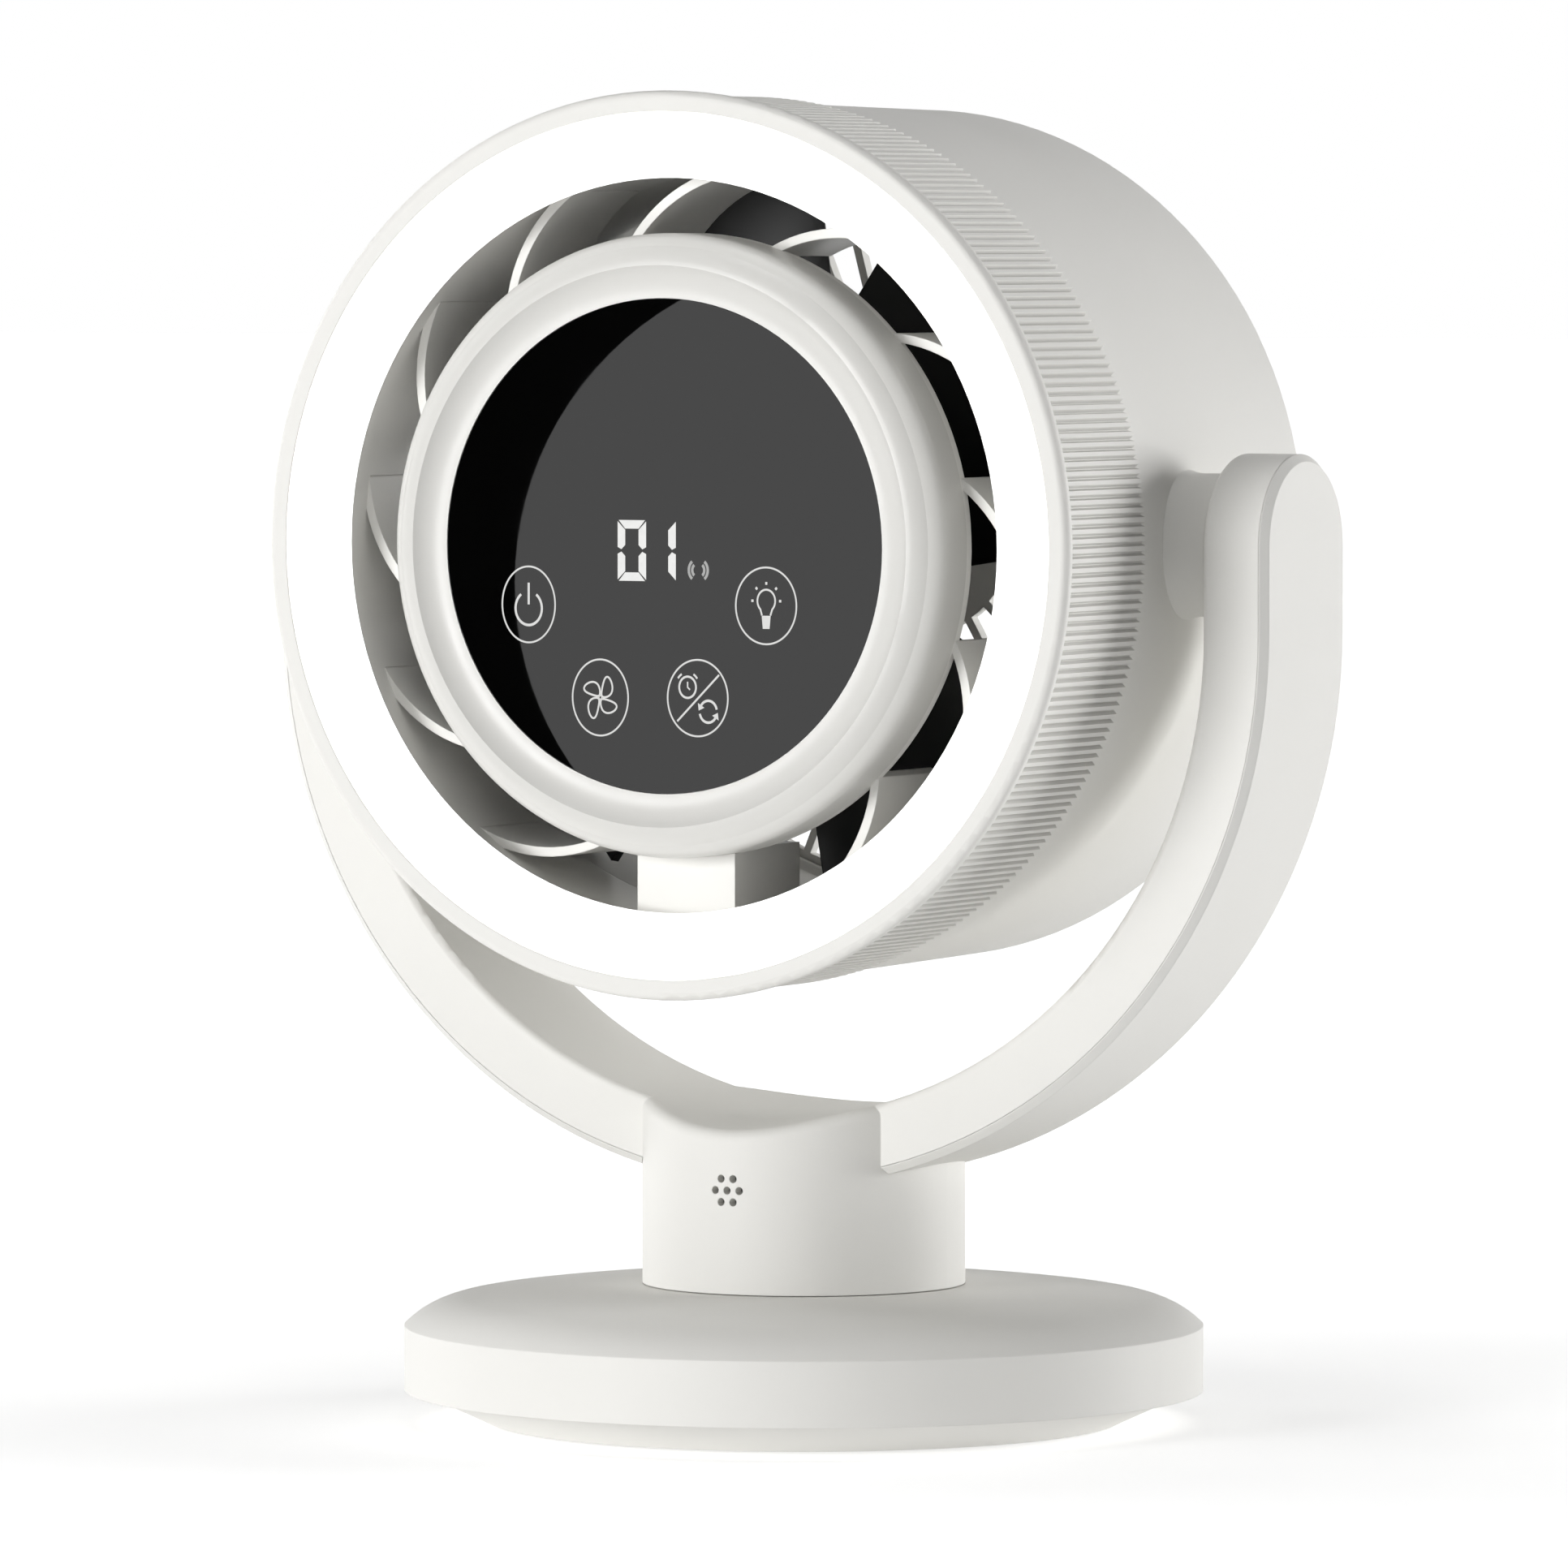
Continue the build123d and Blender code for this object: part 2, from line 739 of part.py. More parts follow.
with BuildPart() as yoke_frame:
    add(arch_solid(arch_inner_radius, frame_outer_radius, half_width))
    fillet([edge for edge in yoke_frame.edges() if on_arch_inside(edge)], arch_round)
    add(neck_blank.part)
    add(channel_blank.part, mode=Mode.SUBTRACT)
    with BuildSketch(Plane.XY.offset(neck_bottom)):
        Circle(neck_inner_radius)
    extrude(amount=neck_ceiling - neck_bottom, mode=Mode.SUBTRACT)
    with BuildSketch(Plane.XY.offset(neck_plate_top)):
        add(neck_spots(neck_boss_radius))
    extrude(amount=neck_boss_height)
    with BuildSketch(Plane.XY.offset(neck_plate_top)):
        add(neck_spots(neck_screw_radius + fit_gap))
    extrude(amount=neck_screw_length - neck_plate_thickness + slide_gap, mode=Mode.SUBTRACT)
    with BuildSketch(Plane.XZ.offset(-buzzer_back)):
        with Locations((0, sound_hole_height)):
            Circle(buzzer_radius + slide_gap + buzzer_cup_wall)
            Circle(buzzer_radius + slide_gap, mode=Mode.SUBTRACT)
    extrude(amount=neck_inner_radius + buzzer_back + neck_wall / 4)
    with BuildSketch(Plane.XZ.offset(-buzzer_back)):
        with Locations((0, sound_hole_height)):
            Circle(sound_hole_radius)
            with PolarLocations(sound_hole_pitch, 6):
                Circle(sound_hole_radius)
    extrude(amount=neck_radius, mode=Mode.SUBTRACT)
    with BuildSketch(Plane.YZ.offset(-neck_radius - arch_width)):
        with Locations((0, neck_ceiling - wire_hole_drop)):
            Circle(wire_hole_radius)
    extrude(amount=2 * (neck_radius + arch_width), mode=Mode.SUBTRACT)
    with BuildSketch(side_view(-frame_outer_radius)):
        Circle(pin_radius + fit_gap)
        with Locations((pin_screw_circle, 0), (-pin_screw_circle, 0)):
            Circle(pin_screw_radius + fit_gap)
    extrude(amount=2 * frame_outer_radius, mode=Mode.SUBTRACT)
finish(yoke_frame, "yoke_frame")

rib_half = channel_half - slide_gap
rib_foot = strip_inner_radius - strip_rib_height


def on_strip_edge(edge):
    """True for a long outer edge of the cover strip."""
    middle = edge @ 0.5
    reach = hypot(middle.X, min(0.0, middle.Z - arch_height))
    return abs(middle.Y) > half_width / 2 and reach > arch_outer_radius - fit_gap


def cover_strip_piece(side):
    """Outer strip of one arm, from the neck to the round end of the arm."""
    with BuildPart() as strip:
        add(arch_solid(strip_inner_radius, arch_outer_radius, half_width))
        chamfer([edge for edge in strip.edges() if on_strip_edge(edge)], strip_bevel)
        add(arch_solid(rib_foot, strip_inner_radius, rib_half))
        add(arch_solid(rib_foot, strip_inner_radius, rib_half - strip_rib), mode=Mode.SUBTRACT)
        with BuildSketch(Plane.XY):
            Circle(neck_radius + fit_gap)
            with Locations((-side * arch_outer_radius, 0)):
                Rectangle(2 * arch_outer_radius, 2 * arch_outer_radius)
        extrude(amount=pivot_height + arch_width, mode=Mode.SUBTRACT)
    return strip


yoke_cover_left = cover_strip_piece(-1)
finish(yoke_cover_left, "yoke_cover_left")
yoke_cover_right = cover_strip_piece(1)
finish(yoke_cover_right, "yoke_cover_right")

with BuildPart() as neck_plate:
    with BuildSketch(Plane.XY.offset(neck_plate_bottom)):
        Circle(neck_inner_radius - part_gap)
    extrude(amount=neck_plate_thickness)
    with BuildSketch(Plane.XY.offset(neck_plate_top)):
        Circle(bush_radius + cover_wall)
    extrude(amount=collar_height)
    with BuildSketch(Plane.XY.offset(neck_plate_top)):
        with Locations(*ear_places):
            Circle(ear_post_radius)
    extrude(amount=ear_height - neck_plate_top)
    with BuildSketch(Plane.XY.offset(ear_height)):
        with Locations(*ear_places):
            Circle(ear_screw_radius + fit_gap)
    extrude(amount=-ear_screw_length, mode=Mode.SUBTRACT)
    with BuildSketch(Plane.XY):
        Circle(bush_radius + fit_gap)
        add(neck_spots(neck_screw_radius + part_gap))
    extrude(amount=ear_height, mode=Mode.SUBTRACT)
finish(neck_plate, "neck_plate")

neck_screw_places = ring_places(
    neck_screw_circle, neck_screw_count, neck_plate_bottom, neck_screw_angle
)
neck_screw_seats = [facing_down(place) for place in neck_screw_places]
neck_screws = pan_screws(neck_screw_seats, neck_screw_radius, neck_screw_length)
finish(neck_screws, "neck_screws")

with BuildPart() as swivel_bush:
    with BuildSketch(Plane.XY.offset(bush_bottom)):
        Circle(bush_flange_radius)
    extrude(amount=bush_flange)
    with BuildSketch(Plane.XY.offset(bush_bottom)):
        Circle(bush_radius)
    extrude(amount=collar_top - bush_bottom)
    with BuildSketch(Plane.XY):
        Circle(post_radius + fit_gap)
    extrude(amount=post_height, mode=Mode.SUBTRACT)
finish(swivel_bush, "swivel_bush")

with BuildPart() as swing_motor:
    with BuildSketch(Plane.XY.offset(ear_height)):
        with Locations((0, swing_motor_y)):
            Circle(swing_motor_radius)
    extrude(amount=swing_motor_length)
    fillet(swing_motor.edges().group_by(Axis.Z)[-1], ear_thickness)
    with BuildSketch(Plane.XY.offset(ear_height)):
        with Locations((0, swing_motor_y)):
            SlotCenterToCenter(ear_spacing, ear_width)
        with Locations(*ear_places):
            Circle(ear_screw_radius + part_gap, mode=Mode.SUBTRACT)
    extrude(amount=ear_thickness)
    with BuildSketch(Plane.XY.offset(ear_height)):
        with Locations((0, gear_spacing)):
            Circle(spindle_radius + ear_thickness * 2)
    extrude(amount=-ear_lift / 2)
    with BuildSketch(Plane.XY):
        with Locations((0, gear_spacing)):
            Circle(spindle_radius + fit_gap)
    extrude(amount=ear_height + swing_motor_length / 2, mode=Mode.SUBTRACT)
finish(swing_motor, "swing_motor")

ear_top = ear_height + ear_thickness
ear_seats = [Plane.XY.offset(ear_top).shift_origin((x, y, ear_top)) for x, y in ear_places]
swing_motor_screws = pan_screws(ear_seats, ear_screw_radius, ear_screw_length)
finish(swing_motor_screws, "swing_motor_screws")

with BuildPart() as swing_pinion:
    with BuildSketch(Plane.XY.offset(gear_bottom)):
        with BuildLine(Plane.XY.shift_origin((0, gear_spacing, 0))):
            Polyline(*gear_outline(pinion_teeth, -90 + 180 / pinion_teeth), close=True)
        make_face()
        with Locations((0, gear_spacing)):
            Circle(spindle_radius + fit_gap / 2, mode=Mode.SUBTRACT)
    extrude(amount=gear_width)
finish(swing_pinion, "swing_pinion")

with BuildPart() as swing_spindle:
    with BuildSketch(Plane.XY.offset(gear_bottom)):
        with Locations((0, gear_spacing)):
            Circle(spindle_radius)
    extrude(amount=ear_height + swing_motor_length / 2 - turn_gap - gear_bottom)
finish(swing_spindle, "swing_spindle")

with BuildPart() as buzzer:
    with BuildSketch(Plane.XZ.offset(-buzzer_back)):
        with Locations((0, sound_hole_height)):
            Circle(buzzer_radius)
    extrude(amount=buzzer_length)
    with BuildSketch(Plane.XZ.offset(-buzzer_back + buzzer_length)):
        with Locations((0, sound_hole_height)):
            Circle(buzzer_port_radius)
    extrude(amount=-buzzer_length / 2, mode=Mode.SUBTRACT)
finish(buzzer, "buzzer")

# ==== tilt pivots ====


def pivot_pin_piece(side):
    """Hollow flanged pin that carries the head in one arm."""
    with BuildPart() as pin:
        with BuildSketch(across(side, pin_inner_end)):
            Circle(pin_radius)
        extrude(amount=channel_radius - pin_inner_end)
        with BuildSketch(across(side, channel_radius)):
            Circle(pin_flange_radius)
            with Locations((pin_screw_circle, 0), (-pin_screw_circle, 0)):
                Circle(pin_screw_radius + fit_gap, mode=Mode.SUBTRACT)
        extrude(amount=pin_flange)
        with BuildSketch(across(side, pin_inner_end)):
            Circle(pin_radius)
            Circle(pin_radius - clip_groove_depth, mode=Mode.SUBTRACT)
        extrude(amount=clip_thickness + slide_gap, mode=Mode.SUBTRACT)
        with BuildSketch(across(side, pin_inner_end)):
            Circle(pin_bore_radius)
        extrude(amount=channel_radius, mode=Mode.SUBTRACT)
    return pin


pivot_pin_left = pivot_pin_piece(-1)
finish(pivot_pin_left, "pivot_pin_left")
pivot_pin_right = pivot_pin_piece(1)
finish(pivot_pin_right, "pivot_pin_right")

pin_screw_seats = [
    across(side, channel_radius + pin_flange).shift_origin(
        (side * (channel_radius + pin_flange), y, pivot_height)
    )
    for side in (-1, 1)
    for y in (pin_screw_circle, -pin_screw_circle)
]
pivot_screws = pan_screws(pin_screw_seats, pin_screw_radius, pin_flange + arch_wall - part_gap)
finish(pivot_screws, "pivot_screws")

with BuildPart() as pivot_clips:
    for side in (-1, 1):
        with BuildSketch(across(side, pin_inner_end + slide_gap / 2)):
            Circle(pin_radius + pin_clip_rim)
            Circle(pin_radius - clip_groove_depth + fit_gap, mode=Mode.SUBTRACT)
            with Locations((0, -pin_radius)):
                Rectangle(pin_radius, 2 * pin_radius, mode=Mode.SUBTRACT)
        extrude(amount=clip_thickness)
finish(pivot_clips, "pivot_clips")

with BuildPart() as friction_washers:
    for side in (-1, 1):
        with BuildSketch(across(side, boss_end + slide_gap)):
            Circle(boss_radius - washer_inset)
            Circle(pin_radius + fit_gap, mode=Mode.SUBTRACT)
        extrude(amount=washer_thickness)
finish(friction_washers, "friction_washers")

# ==== head shell ====

tower_places = [corner_angle + 360 / tower_count * k for k in range(tower_count)]


def tower_spots(radius):
    """Disks at the screw towers of the head, seen from the front."""
    return spots(tower_circle, tower_count, corner_angle, radius)


with BuildPart() as front_housing:
    with BuildSketch(head_section):
        with BuildLine():
            Line((ring_outer_radius, head_front), (head_radius - lip_round, head_front))
            RadiusArc(
                (head_radius - lip_round, head_front), (head_radius, head_front + lip_round), -lip_round
            )
            Polyline(
                (head_radius, head_front + lip_round),
                (head_radius, lip_back),
                (band_inner_radius, lip_back),
                (band_inner_radius, shell_split - slide_gap),
                (front_wall_inner, shell_split - slide_gap),
                (front_wall_inner, shelf_back),
                (duct_outer_radius + part_gap, shelf_back),
                (duct_outer_radius + part_gap, shelf_front),
                (front_wall_inner, shelf_front),
                (front_wall_inner, ring_back),
                (ring_outer_radius, ring_back),
                (ring_outer_radius, head_front),
            )
        make_face()
    revolve(axis=air_axis)
    with BuildSketch(front_view(shell_split - slide_gap)):
        add(tower_spots(tower_hole_radius - slide_gap))
    extrude(amount=shell_split - slide_gap - shelf_back)
    with BuildSketch(front_view(shell_split)):
        add(tower_spots(shell_screw_radius + fit_gap))
    extrude(amount=shell_screw_length, mode=Mode.SUBTRACT)
finish(front_housing, "front_housing")

rib_steps = [
    (rib_tip_radius, -rib_crest_share / 2),
    (rib_tip_radius, rib_crest_share / 2),
    (rib_tip_radius - rib_depth, (1 - rib_valley_share) / 2),
    (rib_tip_radius - rib_depth, (1 + rib_valley_share) / 2),
]
with BuildPart() as ribbed_band:
    with BuildSketch(front_view(shell_split)):
        with BuildLine():
            rib_points = []
            for rib in range(rib_count):
                for radius, share in rib_steps:
                    rib_points.append(polar(radius, 360 * (rib + share) / rib_count))
            Polyline(*rib_points, close=True)
        make_face()
        Circle(band_inner_radius + fit_gap, mode=Mode.SUBTRACT)
    extrude(amount=band_length)
finish(ribbed_band, "ribbed_band")

with BuildPart() as light_ring:
    with BuildSketch(head_section):
        outer = ring_outer_radius - slide_gap
        bow_radius = (ring_inner_radius + outer) / 2
        bow_depth = (ring_inner_front + head_front) / 2 + ring_bow
        with BuildLine():
            ThreePointArc(
                (ring_inner_radius, ring_inner_front),
                (bow_radius, bow_depth),
                (outer, head_front + slide_gap),
            )
            Polyline(
                (outer, head_front + slide_gap),
                (outer, ring_back),
                (front_wall_inner, ring_back),
                (front_wall_inner, ring_back - ring_wall / 2),
                (duct_outer_radius, ring_inner_front + ring_wall / 2),
                (duct_outer_radius, ring_inner_front + ring_wall),
                (ring_inner_radius + ring_wall, ring_inner_front + ring_wall),
                (ring_inner_radius, ring_inner_front),
            )
        make_face()
    revolve(axis=air_axis)
finish(light_ring, "light_ring")

led_middle = (duct_outer_radius + front_wall_inner) / 2
with BuildPart() as led_board:
    with BuildSketch(front_view(shelf_front)):
        Circle(front_wall_inner - part_gap)
        Circle(duct_outer_radius + 2 * part_gap, mode=Mode.SUBTRACT)
    extrude(amount=board_thickness)
    with BuildSketch(front_view(shelf_front - board_thickness)):
        with PolarLocations(led_middle, led_count):
            Rectangle(led_width, led_length)
    extrude(amount=led_height)
finish(led_board, "led_board")

spigot_radius = front_wall_inner - slide_gap
ledge_radius = duct_radius - grille_ledge
ledge_back = head_back - grille_thickness - grille_sink
with BuildPart() as rear_housing:
    with BuildSketch(head_section):
        with BuildLine():
            Polyline(
                (duct_radius, duct_split + slide_gap),
                (duct_outer_radius, duct_split + slide_gap),
                (duct_outer_radius, head_back - shell_wall),
                (shell_tail_radius - tail_round, head_back - shell_wall),
                (shell_tail_radius - shell_wall, shell_tail - shell_wall / 2),
                (drum_front_radius - shell_wall, shell_split + spigot_root),
                (spigot_radius - spigot_wall, shell_split + spigot_root),
                (spigot_radius - spigot_wall, shell_split - spigot_depth),
                (spigot_radius, shell_split - spigot_depth),
                (spigot_radius, shell_split),
                (drum_front_radius, shell_split),
                (shell_tail_radius, shell_tail),
            )
            tail_edge = (shell_tail_radius - tail_round, head_back)
            RadiusArc((shell_tail_radius, shell_tail), tail_edge, tail_round)
            Polyline(
                tail_edge,
                (duct_radius, head_back),
                (duct_radius, duct_split + slide_gap),
            )
        make_face()
        with BuildLine():
            Polyline(
                (ledge_radius, ledge_back - grille_ledge),
                (duct_radius + part_gap, ledge_back - 2 * grille_ledge),
                (duct_radius + part_gap, ledge_back),
                (ledge_radius, ledge_back),
                close=True,
            )
        make_face()
    revolve(axis=air_axis)
    with BuildSketch(front_view(head_back - shell_wall / 2)):
        add(tower_spots(tower_radius))
    extrude(amount=head_back - shell_wall / 2 - shell_split)
    with BuildSketch(front_view(head_back)):
        add(tower_spots(tower_hole_radius))
    extrude(amount=head_back - shell_split - tower_floor, mode=Mode.SUBTRACT)
    with BuildSketch(front_view(head_back)):
        add(tower_spots(shell_screw_radius + part_gap))
    extrude(amount=head_back - shell_split + tower_reach, mode=Mode.SUBTRACT)
    for side in (-1, 1):
        with BuildSketch(head_section):
            with BuildLine():
                Polyline(
                    (side * boss_flare_end, boss_radius),
                    (side * (boss_end - boss_bevel), boss_radius),
                    (side * boss_end, boss_radius - boss_bevel),
                    (side * boss_end, 0),
                    (side * boss_inner_end, 0),
                    (side * boss_inner_end, pin_radius + boss_wall),
                    (side * boss_flare_start, pin_radius + boss_wall),
                    (side * boss_flare_start, boss_radius + boss_flare),
                )
                TangentArc(
                    (side * boss_flare_end, boss_radius),
                    (side * boss_flare_start, boss_radius + boss_flare),
                    tangent=(-side, 0),
                )
            make_face()
        revolve(axis=tilt_axis)
        with BuildSketch(across(side, duct_outer_radius)):
            Circle(pin_radius + fit_gap)
        extrude(amount=boss_end, mode=Mode.SUBTRACT)
finish(rear_housing, "rear_housing")

tower_seat_y = shell_split + tower_floor
tower_seats = [
    Plane(origin=(x, tower_seat_y, pivot_height + z), x_dir=(1, 0, 0), z_dir=(0, 1, 0))
    for x, z in [polar(tower_circle, angle) for angle in tower_places]
]
head_screws = pan_screws(tower_seats, shell_screw_radius, shell_screw_length)
finish(head_screws, "head_screws")


def grille_bars(inner, outer, count):
    """Straight bars that run out between two radii and sink a little into both rings."""
    with BuildSketch() as bars:
        with PolarLocations((inner + outer) / 2, count):
            Rectangle(outer - inner + grille_bar, grille_bar)
    return bars.sketch


middle_ring_inner = grille_middle_radius - grille_bar / 2
with BuildPart() as rear_grille:
    with BuildSketch(front_view(head_back - grille_sink)):
        Circle(grille_radius)
        Circle(grille_radius - grille_rim, mode=Mode.SUBTRACT)
        add(grille_bars(grille_middle_radius, grille_radius - grille_rim, outer_bar_count))
    extrude(amount=grille_thickness - grille_sink)
    with BuildSketch(front_view(head_back - grille_sink)):
        Circle(grille_middle_radius + grille_bar)
        Circle(middle_ring_inner, mode=Mode.SUBTRACT)
        Circle(grille_hub_radius)
        add(grille_bars(grille_hub_radius, middle_ring_inner, inner_bar_count))
    extrude(amount=grille_thickness - grille_sink)
finish(rear_grille, "rear_grille")

# ==== hub pod and vanes ====

sleeve_front = ring_inner_front + ring_wall + slide_gap
with BuildPart() as duct_sleeve:
    with BuildSketch(front_view(duct_split)):
        Circle(duct_outer_radius)
        Circle(duct_radius, mode=Mode.SUBTRACT)
    extrude(amount=duct_split - sleeve_front)
finish(duct_sleeve, "duct_sleeve")

bearing_bore = bearing_radius + fit_gap / 2
strut_root = sqrt(pod_radius**2 - (strut_width / 2) ** 2) - pod_wall / 2
with BuildPart() as vane_grille:
    with BuildSketch(front_view(vane_back)):
        for position in range(vane_positions):
            if position == strut_position:
                continue
            angle = vane_root_angle + 360 / vane_positions * position
            root = Vector(*polar(pod_radius - root_bite, angle))
            tip = Vector(*polar(duct_radius + root_bite, angle - vane_sweep))
            shift = (tip - root).rotate(Axis.Z, 90).normalized() * (vane_thickness / 2)
            with BuildLine():
                SagittaArc(root + shift, tip + shift, vane_bulge)
                Line(tip + shift, tip - shift)
                SagittaArc(root - shift, tip - shift, vane_bulge)
                Line(root - shift, root + shift)
            make_face()
    extrude(amount=vane_back - vane_front)
    with BuildSketch(front_view(vane_back)):
        with Locations((0, -(strut_root + duct_outer_radius) / 2)):
            Rectangle(strut_width, duct_outer_radius - strut_root)
    extrude(amount=vane_back - strut_front)
    with BuildSketch(front_view(vane_back)):
        Circle(duct_radius)
    extrude(amount=vane_back - strut_front, mode=Mode.INTERSECT)
    with BuildSketch(front_view(pod_floor)):
        Circle(pod_radius)
    extrude(amount=pod_floor - strut_front, mode=Mode.SUBTRACT)
    with BuildSketch(head_section):
        with BuildLine():
            Polyline(
                (bearing_bore, pod_floor),
                (pod_radius, pod_floor),
                (pod_radius, pod_back),
                (tube_radius, pod_back),
                (tube_radius, tube_back),
                (bearing_bore, tube_back),
                close=True,
            )
        make_face()
    revolve(axis=air_axis)
    with BuildSketch(front_view(pod_floor)):
        add(spots(window_radius - board_post_inset, 3, 90, board_post_radius))
    extrude(amount=board_post_height)
finish(vane_grille, "vane_grille")

# Turning points of the bezel's front: radius and depth from the crest.
crest_inside = (crest_radius - 0.6, crest_front)
crest_top = (crest_radius + 1.3, crest_front + 0.5)
crest_outside = (crest_radius + 2.8, crest_front + 1.7)
window_edge = window_radius + slide_gap
window_lip = (window_edge, window_front - part_gap)
dish_middle = ((window_edge + crest_radius) / 2 + 0.6, (window_front + crest_front) / 2 + 0.3)
slope_middle = (pod_radius - 0.6, (crest_front + pod_front) / 2 + 0.4)
seat_back = window_back + window_ledge / 2
with BuildPart() as hub_bezel:
    with BuildSketch(head_section):
        with BuildLine():
            ThreePointArc(window_lip, dish_middle, crest_inside)
            ThreePointArc(crest_inside, crest_top, crest_outside)
            ThreePointArc(crest_outside, slope_middle, (pod_radius, pod_front))
            Polyline(
                (pod_radius, pod_front),
                (pod_radius, pod_floor),
                (pod_radius - pod_wall, pod_floor),
                (pod_radius - pod_wall, pod_front),
                (crest_radius + 1.0, crest_front + 2.6),
                (crest_radius - 1.6, crest_front + 2.2),
                (window_edge + window_ledge / 2, window_back + slide_gap),
                (window_edge + window_ledge / 2, seat_back),
                (window_edge - window_ledge, seat_back),
                (window_edge - window_ledge, window_back),
                (window_edge, window_back),
                window_lip,
            )
        make_face()
    revolve(axis=air_axis)
finish(hub_bezel, "hub_bezel")

with BuildPart() as display_window:
    with BuildSketch(front_view(window_back)):
        Circle(window_radius)
    extrude(amount=window_thickness)
finish(display_window, "display_window")

with BuildPart() as display_board:
    with BuildSketch(front_view(board_back)):
        Circle(board_radius)
    extrude(amount=board_thickness)
finish(display_board, "display_board")

touch_places = [(-27.1, -10.8), (-12.5, -26.9), (6.9, -26.7), (20.6, -10.1)]
digit_place = (-3.0, -0.7)
with BuildPart() as digit_module:
    with BuildSketch(front_view(board_front)):
        with Locations(digit_place):
            Rectangle(digit_width, digit_height)
    extrude(amount=board_front - window_back - turn_gap)
finish(digit_module, "digit_module")

with BuildPart() as touch_springs:
    with BuildSketch(front_view(board_front)):
        with Locations(*touch_places):
            Circle(spring_radius)
            Circle(spring_radius - spring_wire, mode=Mode.SUBTRACT)
    extrude(amount=board_front - window_back - part_gap)
finish(touch_springs, "touch_springs")

# ==== fan motor and impeller ====

with BuildPart() as motor_bearings:
    for back in (pod_back + bearing_inset, tube_back):
        with BuildSketch(front_view(back)):
            Circle(bearing_radius)
            Circle(shaft_radius + fit_gap / 2, mode=Mode.SUBTRACT)
        extrude(amount=bearing_width)
finish(motor_bearings, "motor_bearings")

with BuildPart() as motor_board:
    with BuildSketch(front_view(pod_back + board_thickness)):
        Circle(stator_radius + pole_ring)
        Circle(tube_radius + slide_gap, mode=Mode.SUBTRACT)
    extrude(amount=board_thickness)
finish(motor_board, "motor_board")

pole_step = 360 / stator_pole_count
core_radius = tube_radius + core_wall
pole_tip = stator_radius - pole_ring
pole_middle = (core_radius + pole_tip) / 2
with BuildPart() as stator:
    with BuildSketch(front_view(stator_back)):
        Circle(stator_radius)
        Circle(pole_tip, mode=Mode.SUBTRACT)
        with PolarLocations(stator_radius - pole_ring / 2, stator_pole_count, start_angle=pole_step / 2):
            Rectangle(2 * pole_ring, pole_ring, mode=Mode.SUBTRACT)
        with PolarLocations(pole_middle, stator_pole_count):
            Rectangle(pole_tip - core_radius + pole_ring, pole_width)
        Circle(core_radius)
        Circle(tube_radius + fit_gap / 2, mode=Mode.SUBTRACT)
    extrude(amount=stator_length)
finish(stator, "stator")

with BuildPart() as stator_coils:
    with BuildSketch(front_view(stator_back + coil_overhang)):
        with PolarLocations(pole_middle, stator_pole_count):
            Rectangle(pole_tip - core_radius - 2 * turn_gap, coil_width)
    extrude(amount=stator_length + 2 * coil_overhang)
    with BuildSketch(front_view(stator_back)):
        with PolarLocations(pole_middle, stator_pole_count):
            Rectangle(stator_radius, pole_width + 2 * fit_gap)
    extrude(amount=stator_length, mode=Mode.SUBTRACT)
finish(stator_coils, "stator_coils")

shaft_seat = shaft_radius + fit_gap / 2
can_floor = can_back - can_wall
can_front = stator_front - coil_overhang
boss_back = can_back + can_boss_height
with BuildPart() as rotor_can:
    with BuildSketch(head_section):
        with BuildLine():
            Polyline(
                (shaft_seat, can_floor),
                (can_radius - can_wall, can_floor),
                (can_radius - can_wall, can_front),
                (can_radius, can_front),
                (can_radius, can_back),
                (can_boss_radius, can_back),
                (can_boss_radius, boss_back),
                (shaft_seat, boss_back),
                close=True,
            )
        make_face()
    revolve(axis=air_axis)
finish(rotor_can, "rotor_can")

with BuildPart() as magnet_ring:
    with BuildSketch(front_view(can_floor - turn_gap)):
        Circle(can_radius - can_wall - fit_gap)
        Circle(can_radius - can_wall - magnet_wall, mode=Mode.SUBTRACT)
    extrude(amount=can_floor - can_front - 2 * turn_gap)
finish(magnet_ring, "magnet_ring")

nut_back = hub_back + nut_height
shaft_back = nut_back - nut_cap - slide_gap
with BuildPart() as motor_shaft:
    with BuildSketch(front_view(shaft_back)):
        Circle(shaft_radius)
    extrude(amount=shaft_back - pod_back)
finish(motor_shaft, "motor_shaft")

hub_front = can_front - hub_skirt / 2
hub_floor = hub_back - hub_wall
hub_inner_radius = can_radius + slide_gap
with BuildPart() as impeller_hub:
    with BuildSketch(head_section):
        with BuildLine():
            Polyline(
                (shaft_seat, hub_back),
                (shaft_seat, boss_back + slide_gap),
                (can_boss_radius + can_wall / 2, boss_back + slide_gap),
                (can_boss_radius + can_wall / 2, hub_floor),
                (hub_inner_radius - hub_wall, hub_floor),
                (hub_inner_radius, hub_floor - hub_wall),
                (hub_inner_radius, hub_front),
                (hub_radius, hub_front),
                (hub_radius, hub_back - hub_round),
            )
            RadiusArc((hub_radius, hub_back - hub_round), (hub_radius - hub_round, hub_back), hub_round)
            Line((hub_radius - hub_round, hub_back), (shaft_seat, hub_back))
        make_face()
    revolve(axis=air_axis)


